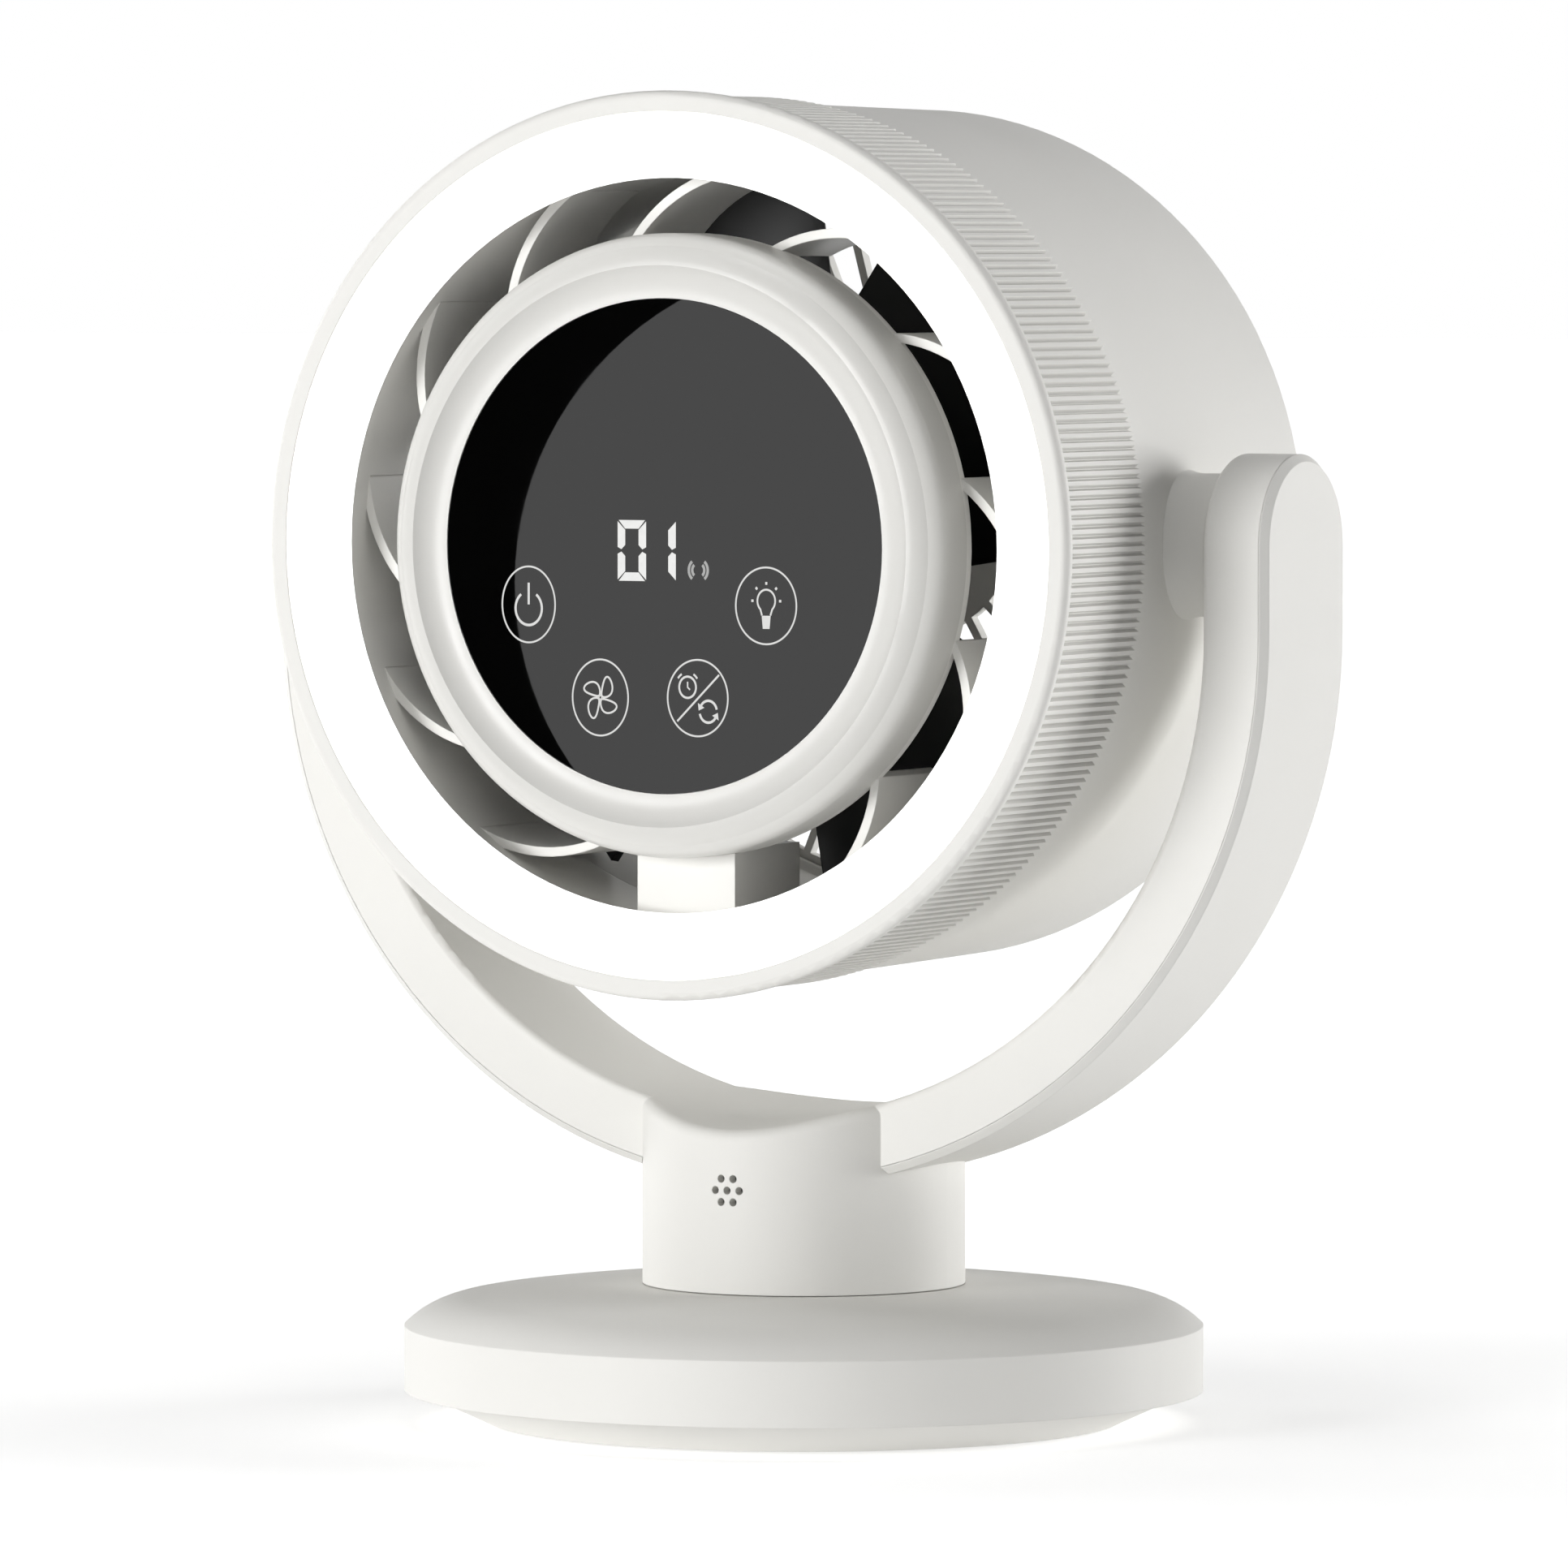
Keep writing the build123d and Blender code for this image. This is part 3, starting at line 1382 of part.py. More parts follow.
def blade_section(chord, pitch):
    """Curved plate of one blade: its chord leans by the pitch from the way it moves."""
    half = Vector(cos(radians(pitch)), sin(radians(pitch))) * (chord / 2)
    lift = Vector(-sin(radians(pitch)), cos(radians(pitch))) * (blade_thickness / 2)
    with BuildSketch() as section:
        with BuildLine():
            SagittaArc(-half + lift, half + lift, -blade_camber)
            Line(half + lift, half - lift)
            SagittaArc(-half - lift, half - lift, -blade_camber)
            Line(-half - lift, -half + lift)
        make_face()
    return section.sketch


blade_stations = [(root_station, root_chord, root_pitch), (tip_station, tip_chord, tip_pitch)]
with BuildPart() as blade_blank:
    for station, chord, pitch in blade_stations:
        section_plane = Plane(
            origin=(station, blade_middle, pivot_height), x_dir=(0, 0, 1), z_dir=(1, 0, 0)
        )
        with BuildSketch(section_plane):
            add(blade_section(chord, pitch))
    loft()
    with BuildSketch(front_view(blade_middle + tip_chord)):
        Circle(blade_tip_radius)
        Circle(hub_radius - hub_wall / 2, mode=Mode.SUBTRACT)
    extrude(amount=2 * tip_chord, mode=Mode.INTERSECT)

with BuildPart() as impeller:
    add(impeller_hub.part)
    for blade in range(blade_count):
        turn = blade_start_angle + 360 / blade_count * blade
        add(blade_blank.part.rotate(air_axis, turn))
finish(impeller, "impeller")

with BuildPart() as impeller_nut:
    with BuildSketch(front_view(nut_back)):
        Circle(nut_radius)
    extrude(amount=nut_height)
    fillet(impeller_nut.edges().group_by(Axis.Y)[-1], nut_round)
    with BuildSketch(front_view(nut_back - nut_cap)):
        Circle(shaft_seat)
    extrude(amount=nut_height, mode=Mode.SUBTRACT)
finish(impeller_nut, "impeller_nut")
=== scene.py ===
import json
import math

import bmesh
import bpy
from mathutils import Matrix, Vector


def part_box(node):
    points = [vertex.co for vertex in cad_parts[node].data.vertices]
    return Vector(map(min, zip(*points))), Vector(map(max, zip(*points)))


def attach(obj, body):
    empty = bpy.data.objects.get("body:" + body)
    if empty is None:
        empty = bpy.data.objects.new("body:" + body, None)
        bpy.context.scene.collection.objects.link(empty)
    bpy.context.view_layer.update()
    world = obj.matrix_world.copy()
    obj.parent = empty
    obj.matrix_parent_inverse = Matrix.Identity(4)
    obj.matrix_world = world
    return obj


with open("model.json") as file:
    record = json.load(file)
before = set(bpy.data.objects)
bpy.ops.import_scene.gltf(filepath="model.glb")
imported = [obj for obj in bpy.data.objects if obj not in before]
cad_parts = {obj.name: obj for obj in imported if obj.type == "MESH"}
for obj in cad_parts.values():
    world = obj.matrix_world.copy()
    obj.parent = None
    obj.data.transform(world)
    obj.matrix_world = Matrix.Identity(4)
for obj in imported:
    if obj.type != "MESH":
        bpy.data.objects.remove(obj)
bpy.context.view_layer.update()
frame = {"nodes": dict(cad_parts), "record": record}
nodes = frame["nodes"]
MM = 0.001

# ---- places that the pieces of the scene are worked out from ----
window_low, window_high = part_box("display_window")
window_front = window_low.y
tilt_height = (window_high.z + window_low.z) / 2
window_middle = Vector((0, window_front, tilt_height))


# ---- camera: distance and aim follow from the photograph's circles ----
camera_place = Vector((0.98594, -1.84964, 0.21354))
camera_aim = Vector((-0.00406, 0.0, 0.11493))
camera_lens = 267.85


def make_camera():
    data = bpy.data.cameras.new("camera")
    data.lens = camera_lens
    data.sensor_width = 36.0
    data.clip_start = 0.1
    data.clip_end = 50.0
    camera = bpy.data.objects.new("camera", data)
    camera.location = camera_place
    camera.rotation_mode = "QUATERNION"
    camera.rotation_quaternion = (camera_aim - camera_place).to_track_quat("-Z", "Y")
    bpy.context.scene.collection.objects.link(camera)
    bpy.context.scene.camera = camera


# ---- materials: a scale is about how often a pattern repeats in a metre ----
# A noise mostly stays between these two values.
noise_low = 0.3
noise_high = 0.7
edge_radius = 0.3 * MM
probe_samples = 6
# Painted shade down in the rib grooves: how far it reaches and how dark it gets.
rib_painted_shade_span = 0.8 * MM
rib_painted_shade_level = 0.66
drift_scale = 16
drift_shade = 0.985
plastic_sheen = 0.03
metal_sheen = 0.08
grain_scale = 1300
grain_depth = 0.005 * MM
rubber_grain_scale = 600
rubber_grain_depth = 0.04 * MM
turning_marks = 900
turning_shade = 0.82
turning_depth = 0.006 * MM
track_scale = 230
track_low = 0.02
track_high = 0.05
track_shade = 1.9
track_depth = 0.04 * MM
wire_scale = 700
wire_bend = 0.6
wire_gap_painted_shade = 0.35
wire_depth = 0.08 * MM
window_ripple = 0.0005 * MM
shell_rough = 0.54
shell_gloss = 0.2


def srgb(red, green, blue):
    """Scene colour of three 0 to 255 values."""
    scaled = [value / 255 for value in (red, green, blue)]
    linear = [v / 12.92 if v <= 0.04045 else ((v + 0.055) / 1.055) ** 2.4 for v in scaled]
    return (*linear, 1.0)


def shade(colour, factor):
    """The same colour made darker or lighter."""
    return (*(value * factor for value in colour[:3]), 1.0)


class Nodes:
    """Short way to add and join shader nodes of one material."""

    def __init__(self, name):
        self.material = bpy.data.materials.new(name)
        self.material.use_nodes = True
        self.tree = self.material.node_tree
        self.shader = self.tree.nodes["Principled BSDF"]
        self.place = self.add("ShaderNodeTexCoord").outputs["Object"]

    def add(self, kind, **values):
        node = self.tree.nodes.new(kind)
        for name, value in values.items():
            setattr(node, name, value)
        return node

    def join(self, output, socket):
        self.tree.links.new(output, socket)

    def noise(self, scale, detail=2.0, roughness=0.5):
        node = self.add("ShaderNodeTexNoise")
        node.inputs["Scale"].default_value = scale
        node.inputs["Detail"].default_value = detail
        node.inputs["Roughness"].default_value = roughness
        self.join(self.place, node.inputs["Vector"])
        return node.outputs["Fac"]

    def spread(self, source, low, high):
        """Maps the usual range of a noise to low and high."""
        node = self.add("ShaderNodeMapRange")
        node.inputs["From Min"].default_value = noise_low
        node.inputs["From Max"].default_value = noise_high
        node.inputs["To Min"].default_value = low
        node.inputs["To Max"].default_value = high
        self.join(source, node.inputs["Value"])
        return node.outputs["Result"]

    def blend(self, source, first, second):
        """Colour between two by a 0 to 1 value."""
        node = self.add("ShaderNodeMix", data_type="RGBA")
        node.inputs["A"].default_value = first
        node.inputs["B"].default_value = second
        self.join(source, node.inputs["Factor"])
        return node.outputs["Result"]

    def bump(self, source, height, under=None):
        node = self.add("ShaderNodeBump")
        node.inputs["Strength"].default_value = 1.0
        node.inputs["Distance"].default_value = height
        self.join(source, node.inputs["Height"])
        if under is not None:
            self.join(under, node.inputs["Normal"])
        return node.outputs["Normal"]

    def paint_shade_in_grooves(self, source, shaded_colour, distance):
        """Painted shade: the colour on top, going over to a darker one down in narrow grooves, where
        shade falls.
        """
        node = self.add("ShaderNodeAmbientOcclusion", samples=probe_samples)
        node.inputs["Distance"].default_value = distance
        mix = self.add("ShaderNodeMix", data_type="RGBA")
        mix.inputs["A"].default_value = shaded_colour
        self.join(source, mix.inputs["B"])
        self.join(node.outputs["AO"], mix.inputs["Factor"])
        return mix.outputs["Result"]

    def soft_edges(self, radius):
        node = self.add("ShaderNodeBevel", samples=probe_samples)
        node.inputs["Radius"].default_value = radius
        return node.outputs["Normal"]


def moulded_plastic(
    name, colour, rough, grain=grain_scale, grain_height=grain_depth, edge=0.0, gloss=0.3, painted_shade_reach=0.0
):
    """Matt or satin plastic: fine spark-eroded grain, slow drift of tone and gloss, and painted shade
    in narrow grooves when asked for.
    """
    made = Nodes(name)
    drift = made.spread(made.noise(drift_scale), 0.0, 1.0)
    tone = made.blend(drift, colour, shade(colour, drift_shade))
    # Painted shade in narrow grooves.
    if painted_shade_reach:
        tone = made.paint_shade_in_grooves(tone, shade(colour, rib_painted_shade_level), painted_shade_reach)
    made.join(tone, made.shader.inputs["Base Color"])
    sheen = made.spread(made.noise(60, 4.0), rough - plastic_sheen, rough + plastic_sheen)
    made.join(sheen, made.shader.inputs["Roughness"])
    under = made.soft_edges(edge) if edge else None
    made.join(made.bump(made.noise(grain), grain_height, under), made.shader.inputs["Normal"])
    made.shader.inputs["Specular IOR Level"].default_value = gloss
    return made


def plated_metal(name, colour, rough):
    """Metal with fine turning marks and small differences of gloss."""
    made = Nodes(name)
    marks = made.noise(turning_marks, 5.0, 0.6)
    made.join(made.blend(marks, colour, shade(colour, turning_shade)), made.shader.inputs["Base Color"])
    sheen = made.spread(made.noise(90, 4.0), rough - metal_sheen, rough + metal_sheen)
    made.join(sheen, made.shader.inputs["Roughness"])
    made.join(made.bump(marks, turning_depth), made.shader.inputs["Normal"])
    made.shader.inputs["Metallic"].default_value = 1.0
    return made


def circuit_board(name, colour):
    """Solder mask over copper tracks that show as raised lines."""
    made = Nodes(name)
    tracks = made.add("ShaderNodeTexVoronoi", feature="DISTANCE_TO_EDGE")
    tracks.inputs["Scale"].default_value = track_scale
    made.join(made.place, tracks.inputs["Vector"])
    lines = made.add("ShaderNodeMapRange")
    lines.inputs["From Min"].default_value = track_low
    lines.inputs["From Max"].default_value = track_high
    made.join(tracks.outputs["Distance"], lines.inputs["Value"])
    tone = made.blend(lines.outputs["Result"], shade(colour, track_shade), colour)
    made.join(tone, made.shader.inputs["Base Color"])
    made.join(made.bump(lines.outputs["Result"], track_depth), made.shader.inputs["Normal"])
    made.join(made.spread(made.noise(150, 3.0), 0.28, 0.4), made.shader.inputs["Roughness"])
    return made


def wound_copper(name, colour):
    """Enamelled wire laid side by side, with painted shade between the turns."""
    made = Nodes(name)
    turns = made.add("ShaderNodeTexWave", wave_type="BANDS", bands_direction="DIAGONAL")
    turns.inputs["Scale"].default_value = wire_scale
    turns.inputs["Distortion"].default_value = wire_bend
    made.join(made.place, turns.inputs["Vector"])
    # Painted shade: darker down in the grooves between the turns, where the wire dips.
    tone = made.blend(turns.outputs["Fac"], shade(colour, wire_gap_painted_shade), colour)
    made.join(tone, made.shader.inputs["Base Color"])
    made.join(made.bump(turns.outputs["Fac"], wire_depth), made.shader.inputs["Normal"])
    made.shader.inputs["Metallic"].default_value = 0.8
    made.shader.inputs["Roughness"].default_value = 0.32
    return made


def lit_diffuser(name):
    """Opal diffuser that glows evenly, a touch uneven at random."""
    made = Nodes(name)
    glow = made.spread(made.noise(160, 3.0), 0.86, 0.9)
    made.join(glow, made.shader.inputs["Emission Strength"])
    made.shader.inputs["Emission Color"].default_value = srgb(255, 255, 255)
    made.join(
        made.blend(made.noise(300, 2.0), srgb(236, 236, 234), srgb(228, 228, 226)),
        made.shader.inputs["Base Color"],
    )
    made.join(made.spread(made.noise(90, 3.0), 0.34, 0.42), made.shader.inputs["Roughness"])
    made.join(made.bump(made.noise(1500, 2.0), 0.000006), made.shader.inputs["Normal"])
    return made


def smoked_window(name):
    """Polished dark acrylic with the faintest waviness."""
    made = Nodes(name)
    made.join(
        made.blend(made.noise(35, 2.0), srgb(3, 3, 3), srgb(6, 6, 6)), made.shader.inputs["Base Color"]
    )
    made.join(made.spread(made.noise(120, 3.0), 0.004, 0.009), made.shader.inputs["Roughness"])
    made.join(made.bump(made.noise(40, 1.0), window_ripple), made.shader.inputs["Normal"])
    made.shader.inputs["IOR"].default_value = 1.5
    return made


def sign_light(name, level):
    """Print lit from behind, a touch uneven."""
    made = Nodes(name)
    glow = made.spread(made.noise(900, 2.0), level * 0.93, level)
    made.join(glow, made.shader.inputs["Emission Strength"])
    made.shader.inputs["Emission Color"].default_value = srgb(255, 255, 253)
    made.join(
        made.blend(made.noise(400, 2.0), srgb(50, 50, 50), srgb(40, 40, 40)),
        made.shader.inputs["Base Color"],
    )
    made.shader.inputs["Roughness"].default_value = 0.5
    return made


SHELL = srgb(240, 239, 235)
finishes = {
    "shell_white": moulded_plastic(
        "shell_white", SHELL, shell_rough, edge=edge_radius, gloss=shell_gloss
    ),
    "vane_white": moulded_plastic("vane_white", srgb(238, 237, 233), 0.36, edge=edge_radius),
    # The hub's own light grey, set darker still as painted shade for the shade that falls on it inside
    # the duct.
    "hub_grey": moulded_plastic("hub_grey", srgb(222, 221, 217), 0.35, gloss=0.45),
    "lamp_white": lit_diffuser("lamp_white"),
    "window_dark": smoked_window("window_dark"),
    "impeller_black": moulded_plastic("impeller_black", srgb(18, 18, 19), 0.38, edge=edge_radius),
    "steel": plated_metal("steel", srgb(190, 190, 192), 0.32),
    "nylon": moulded_plastic("nylon", srgb(232, 229, 216), 0.48),
    "rubber": moulded_plastic(
        "rubber", srgb(38, 38, 38), 0.75, grain=rubber_grain_scale, grain_height=rubber_grain_depth
    ),
    "board_green": circuit_board("board_green", srgb(20, 84, 48)),
    "black_plastic": moulded_plastic("black_plastic", srgb(28, 28, 29), 0.5),
    "motor_metal": plated_metal("motor_metal", srgb(200, 200, 204), 0.36),
    "copper": wound_copper("copper", srgb(196, 116, 66)),
}
# The ribs are finer than the softened edges of the shell, and their grooves get painted shade.
ribs_with_painted_shade = moulded_plastic("rib_white_painted_shade", SHELL, shell_rough, gloss=shell_gloss, painted_shade_reach=rib_painted_shade_span)


def dress_frame():
    """Every node takes the finish of its material slot in the record; the ribbed band instead takes the
    rib finish with painted shade in its grooves.
    """
    for part in frame["record"]["subparts"]:
        mesh = nodes[part["node"]].data
        finish = ribs_with_painted_shade if part["node"] == "ribbed_band" else finishes[part["material_slot"]]
        mesh.materials.clear()
        mesh.materials.append(finish.material)


# ---- signs on the window: millimetres across and up from the window's middle ----
sign_skin = 0.04 * MM
sign_sink = 0.02 * MM
sign_narrow = 0.86
sign_short = 0.96
ring_radius = 7.0
ring_line = 0.33
icon_line = 0.42
turn = 2 * math.pi
power_place = (-27.05, -10.6)
fan_place = (-12.57, -26.8)
timer_place = (6.98, -26.55)
lamp_place = (20.6, -10.15)
wave_place = (7.1, -4.1)
left_digit_place = (-6.2, -0.8)
right_digit_place = (-0.25, -0.8)
power_ring_share = 0.89
fan_ring_share = 0.93
print_level = 0.62
digit_level = 0.74
faint_level = 0.3


def arc(middle, radius, first, last, count=32):
    """Points on a round, by angles in degrees from the right-hand side."""
    step = math.radians(last - first) / count
    angles = [math.radians(first) + step * k for k in range(count + 1)]
    return [(middle[0] + radius * math.cos(a), middle[1] + radius * math.sin(a)) for a in angles]


def turned(points, angle, middle=(0.0, 0.0)):
    """The points turned about the origin by degrees and set down round a middle."""
    c, s = math.cos(math.radians(angle)), math.sin(math.radians(angle))
    return [(middle[0] + x * c - z * s, middle[1] + x * s + z * c) for x, z in points]


class Sign:
    """Thin raised print on the window, one mesh for each sign."""

    def __init__(self, name, middle, finish, narrow=sign_narrow, short=sign_short):
        self.name = name
        self.middle = middle
        self.finish = finish
        self.narrow = narrow
        self.short = short
        self.form = bmesh.new()

    def spot(self, x, z):
        across = (self.middle[0] + x * self.narrow) * MM
        up = (self.middle[1] + z * self.short) * MM
        return self.form.verts.new(window_middle + Vector((across, sign_sink, up)))

    def patch(self, outline):
        """Filled shape inside an outline."""
        self.form.faces.new([self.spot(x, z) for x, z in outline])

    def line(self, points, width=icon_line, closed=False):
        """Band of one width along a row of points."""
        last = len(points) - 1
        rails = []
        for k, (x, z) in enumerate(points):
            before = points[k - 1] if k > 0 or closed else points[k]
            after = points[(k + 1) % len(points)] if k < last or closed else points[k]
            run = Vector((after[0] - before[0], after[1] - before[1])).normalized() * (width / 2)
            rails.append((self.spot(x - run.y, z + run.x), self.spot(x + run.y, z - run.x)))
        pairs = list(zip(rails, rails[1:]))
        if closed:
            pairs.append((rails[-1], rails[0]))
        for (a, b), (c, d) in pairs:
            self.form.faces.new((a, b, d, c))

    def ring(self, share=1.0):
        """Line round the sign; share is its width over that of a round one."""
        round_line = arc((0, 0), ring_radius, 0, 360, 72)[:-1]
        self.line([(x * share, z) for x, z in round_line], ring_line, closed=True)

    def done(self):
        """Gives the print its thickness, its finish and its place on the head."""
        grown = bmesh.ops.extrude_face_region(self.form, geom=self.form.faces[:])
        raised = [item for item in grown["geom"] if isinstance(item, bmesh.types.BMVert)]
        bmesh.ops.translate(self.form, verts=raised, vec=(0, -sign_skin - sign_sink, 0))
        bmesh.ops.recalc_face_normals(self.form, faces=self.form.faces[:])
        mesh = bpy.data.meshes.new(self.name)
        self.form.to_mesh(mesh)
        self.form.free()
        mesh.materials.append(self.finish.material)
        piece = bpy.data.objects.new(self.name, mesh)
        bpy.context.scene.collection.objects.link(piece)
        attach(piece, "head")


def power_sign(finish):
    sign = Sign("sign_power", power_place, finish)
    sign.ring(power_ring_share)
    width = icon_line * 1.15
    bow = (0, -0.7)
    bow_radius = 3.1
    sign.line(arc(bow, bow_radius, 125, 415, 40), width)
    sign.line([(0, 4.0), (0, 0.0)], width)
    sign.done()


def fan_sign(finish):
    """Pinwheel of four petals, widest outside and bent one way, round a small hub."""
    sign = Sign("sign_fan", fan_place, finish)
    sign.ring(fan_ring_share)
    petal_points = 28
    petal_middle = 2.15
    petal_half = 1.7
    petal_bend = 0.09
    first_angle = 36
    hub_radius = 0.35
    for blade in range(4):
        petal = []
        for k in range(petal_points):
            swing = turn * k / petal_points
            along = petal_middle - petal_half * math.cos(swing)
            across = 1.3 * math.sin(swing) * (0.5 + 0.25 * along)
            petal.append((along, across + petal_bend * along * along))
        sign.line(turned(petal, first_angle + 90 * blade), icon_line * 0.85, closed=True)
    sign.line(arc((0, 0), hub_radius, 0, 360, 16)[:-1], icon_line * 0.6, closed=True)
    sign.done()


def timer_sign(finish):
    """Alarm clock above and two turning arrows below a slanted line."""
    sign = Sign("sign_timer", timer_place, finish)
    sign.ring()
    sign.line([(4.95, 4.3), (-4.75, -4.3)], icon_line * 0.9)
    clock = (-2.35, 1.95)
    clock_radius = 1.95
    bell_radius = 2.75
    sign.line(arc(clock, clock_radius, 0, 360, 36)[:-1], icon_line * 0.95, closed=True)
    hands = [(clock[0], clock[1] + 1.0), clock, (clock[0] + 0.55, clock[1] - 0.45)]
    sign.line(hands, icon_line * 0.7)
    for side in (-1, 1):
        middle = 90 - 42 * side
        sign.line(arc(clock, bell_radius, middle - 12, middle + 12, 6), icon_line * 0.9)
    arrows = (2.45, -2.45)
    arrow_radius = 2.0
    arrow_sweep = 138
    arrow_head = [(-0.15, 0.85), (-0.15, -0.85), (0.95, 0.0)]
    for first in (12, 192):
        last = first + arrow_sweep
        sign.line(arc(arrows, arrow_radius, first, last, 24), icon_line * 1.1)
        tip = arc(arrows, arrow_radius, last, last, 1)[0]
        sign.patch(turned(arrow_head, last + 90, tip))
    sign.done()


def lamp_sign(finish):
    """Bulb with its cap below and five rays above."""
    sign = Sign("sign_lamp", lamp_place, finish)
    sign.ring()
    bulb = (0.05, 0.9)
    bulb_radius = 2.05
    ray_start = 2.95
    ray_end = 3.45
    glass = arc(bulb, bulb_radius, -48, 228, 40)
    sign.line([(1.0, -1.75)] + glass + [(-0.95, -1.75)], icon_line * 0.85)
    sign.patch([(-1.0, -1.8), (1.05, -1.8), (0.8, -4.2), (-0.75, -4.2)])
    for ray in range(5):
        inner = arc(bulb, ray_start, 45 * ray, 45 * ray, 1)[0]
        outer = arc(bulb, ray_end, 45 * ray, 45 * ray, 1)[0]
        sign.line([inner, outer], icon_line * 1.1)
    sign.done()


digit_width = 5.7
digit_height = 10.7
digit_stroke = 1.5
digit_slit = 0.22
digit_segments = {"0": "abcdef", "1": "bc"}


def segment(letter):
    """Outline of one of the bars round a digit, from the digit's middle."""
    half, stroke, slit = digit_width / 2, digit_stroke, digit_slit
    top = digit_height / 2
    if letter in "ad":
        up = top if letter == "a" else -top
        inner = up - math.copysign(stroke, up)
        return [(-half + slit, up), (half - slit, up), (half - stroke, inner), (stroke - half, inner)]
    side = 1 if letter in "bc" else -1
    level = 1 if letter in "bf" else -1
    outer, inner = side * half, side * (half - stroke)
    return [
        (outer, level * (top - slit)),
        (outer, level * (slit + stroke / 4)),
        (side * (half - stroke / 2), level * slit),
        (inner, level * (slit + stroke / 2)),
        (inner, level * (top - slit - stroke)),
    ]


def digit_sign(name, middle, digit, finish):
    sign = Sign(name, middle, finish, narrow=1.0, short=1.0)
    for letter in digit_segments[digit]:
        sign.patch(segment(letter))
    sign.done()


def wave_sign(finish):
    """Small faint mark beside the digits: two pairs of arcs."""
    sign = Sign("sign_wave", wave_place, finish)
    wave_line = 0.55
    wave_shift = 0.2
    wave_half = 52
    for side in (-1, 1):
        for radius in (1.2, 2.0):
            middle = 90 - 90 * side
            bow = arc((side * wave_shift, 0), radius, middle - wave_half, middle + wave_half, 12)
            sign.line(bow, wave_line)
    sign.done()


def make_signs():
    print_light = sign_light("print_light", print_level)
    digit_light = sign_light("digit_light", digit_level)
    faint_light = sign_light("faint_light", faint_level)
    power_sign(print_light)
    fan_sign(print_light)
    timer_sign(print_light)
    lamp_sign(print_light)
    digit_sign("digit_left", left_digit_place, "0", digit_light)
    digit_sign("digit_right", right_digit_place, "1", digit_light)
    wave_sign(faint_light)


# ---- stage: floor, cards, world and lamps ----
floor_half = 20
# To the eye the floor goes over to white between these two distances from the base's axis.
floor_near = 0.12
floor_far = 0.6
floor_lift_near = 0.48
floor_lift_far = 1.0
# The floor's own light on the fan from below.
table_glow = 0.22


def clear_view(tree):
    """1 for the rays that show the background: to the eye, in gloss and through clear material."""
    path = tree.nodes.new("ShaderNodeLightPath")
    result = path.outputs["Is Camera Ray"]
    for ray in ("Is Glossy Ray", "Is Transmission Ray"):
        most = tree.nodes.new("ShaderNodeMath")
        most.operation = "MAXIMUM"
        tree.links.new(result, most.inputs[0])
        tree.links.new(path.outputs[ray], most.inputs[1])
        result = most.outputs["Value"]
    return result


def make_floor():
    """Pale light table that reads as white and keeps the fan's soft shadow."""
    mesh = bpy.data.meshes.new("floor")
    form = bmesh.new()
    bmesh.ops.create_grid(form, x_segments=8, y_segments=8, size=floor_half)
    form.to_mesh(mesh)
    form.free()
    floor = bpy.data.objects.new("floor", mesh)
    bpy.context.scene.collection.objects.link(floor)
    made = Nodes("floor")
    span = made.add("ShaderNodeVectorMath", operation="LENGTH")
    made.join(made.place, span.inputs[0])
    lift = made.add("ShaderNodeMapRange")
    lift.inputs["From Min"].default_value = floor_near
    lift.inputs["From Max"].default_value = floor_far
    lift.inputs["To Min"].default_value = floor_lift_near
    lift.inputs["To Max"].default_value = floor_lift_far
    made.join(span.outputs["Value"], lift.inputs["Value"])
    level = made.add("ShaderNodeMix", data_type="FLOAT")
    level.inputs["A"].default_value = table_glow
    made.join(lift.outputs["Result"], level.inputs["B"])
    made.join(clear_view(made.tree), level.inputs["Factor"])
    made.join(level.outputs["Result"], made.shader.inputs["Emission Strength"])
    made.shader.inputs["Emission Color"].default_value = (1, 1, 1, 1)
    made.join(
        made.blend(made.noise(3, 2.0), srgb(243, 243, 243), srgb(240, 240, 240)),
        made.shader.inputs["Base Color"],
    )
    made.shader.inputs["Roughness"].default_value = 0.8
    floor.data.materials.append(made.material)


# The window mirrors a lit round card in front of a black flag, left of the camera.
card_facing = Vector((0.4714, 0.8807, 0.0470)).normalized()
card_up = Vector((-0.022156, -0.041396, 0.998897))
card_side = card_up.cross(-card_facing)
card_distance = 1.2
card_glow = 1.58


def make_card(name, across, up, behind, radius, corners, glow):
    """Flat card that only shows in gloss; across and up are metres from the line to the window."""
    mesh = bpy.data.meshes.new(name)
    form = bmesh.new()
    bmesh.ops.create_circle(form, cap_ends=True, segments=corners, radius=radius)
    form.to_mesh(mesh)
    form.free()
    card = bpy.data.objects.new(name, mesh)
    middle = window_middle - card_facing * (card_distance + behind)
    card.location = middle + card_side * across + card_up * up
    card.rotation_mode = "QUATERNION"
    card.rotation_quaternion = card_facing.to_track_quat("Z", "Y")
    bpy.context.scene.collection.objects.link(card)
    made = Nodes(name)
    made.shader.inputs["Base Color"].default_value = (0, 0, 0, 1)
    made.shader.inputs["Specular IOR Level"].default_value = 0.0
    made.shader.inputs["Emission Color"].default_value = (1, 1, 1, 1)
    made.shader.inputs["Emission Strength"].default_value = glow
    card.data.materials.append(made.material)
    card.visible_camera = False
    card.visible_diffuse = False
    card.visible_transmission = False
    card.visible_shadow = False


world_light = 0.03


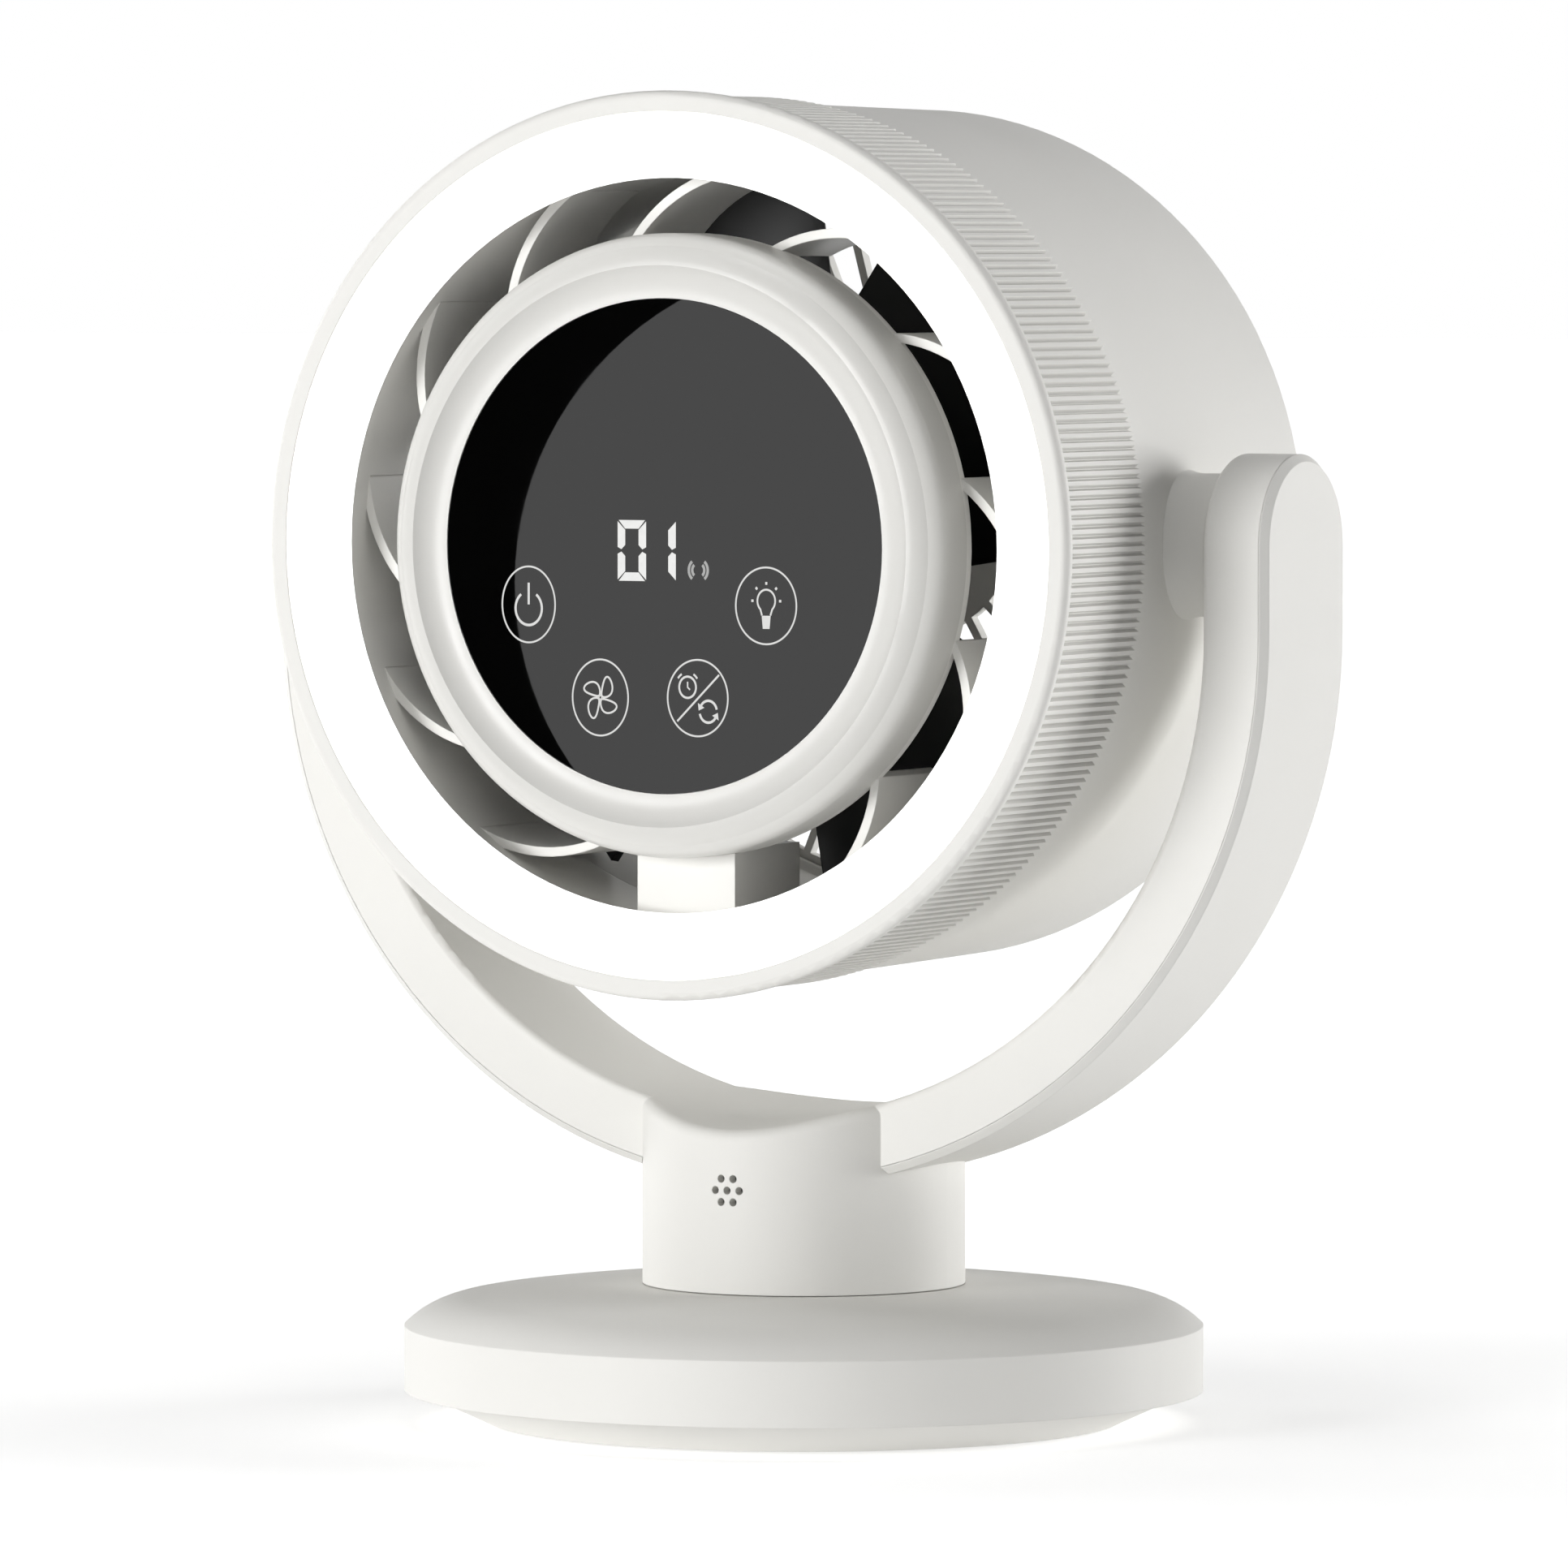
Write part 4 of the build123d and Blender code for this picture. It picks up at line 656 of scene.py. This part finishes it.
def make_world():
    """White to the eye and in reflections, with very little light of its own."""
    world = bpy.data.worlds.new("world")
    world.use_nodes = True
    bpy.context.scene.world = world
    tree = world.node_tree
    tree.nodes.clear()
    light = tree.nodes.new("ShaderNodeBackground")
    light.inputs["Color"].default_value = (1.0, 1.0, 1.0, 1.0)
    light.inputs["Strength"].default_value = world_light
    white = tree.nodes.new("ShaderNodeBackground")
    white.inputs["Color"].default_value = (1.0, 1.0, 1.0, 1.0)
    white.inputs["Strength"].default_value = 1.0
    mix = tree.nodes.new("ShaderNodeMixShader")
    tree.links.new(clear_view(tree), mix.inputs["Fac"])
    tree.links.new(light.outputs[0], mix.inputs[1])
    tree.links.new(white.outputs[0], mix.inputs[2])
    out = tree.nodes.new("ShaderNodeOutputWorld")
    tree.links.new(mix.outputs[0], out.inputs["Surface"])


lamp_aim = Vector((0, 0, 0.12))
lamp_distance = 1.9
lamp_side = 0.7


def make_lamp(name, bearing, height, power):
    """Square soft box; bearing turns from straight in front towards the right, both in degrees."""
    bearing, height = math.radians(bearing), math.radians(height)
    away = Vector((math.sin(bearing), -math.cos(bearing), 0)) * math.cos(height)
    away.z = math.sin(height)
    data = bpy.data.lights.new(name, "AREA")
    data.shape = "SQUARE"
    data.size = lamp_side
    data.energy = power
    lamp = bpy.data.objects.new(name, data)
    lamp.location = lamp_aim + away * lamp_distance
    lamp.rotation_mode = "QUATERNION"
    lamp.rotation_quaternion = (-away).to_track_quat("-Z", "Y")
    lamp.visible_camera = False
    bpy.context.scene.collection.objects.link(lamp)


make_camera()
make_world()
make_floor()
make_card("card_lit", across=0.0365, up=0.0144, behind=0.0, radius=0.0902, corners=96, glow=card_glow)
make_card("card_flag", across=-0.012, up=0.025, behind=0.02, radius=0.24, corners=4, glow=0.0)
make_lamp("lamp_front_left", bearing=-19, height=6, power=23.5)
make_lamp("lamp_left", bearing=-105, height=6, power=8.5)
make_lamp("lamp_right", bearing=130, height=6, power=22.5)
make_lamp("lamp_top", bearing=0, height=80, power=6.5)
dress_frame()
make_signs()

bpy.context.scene.view_settings.view_transform = "Standard"
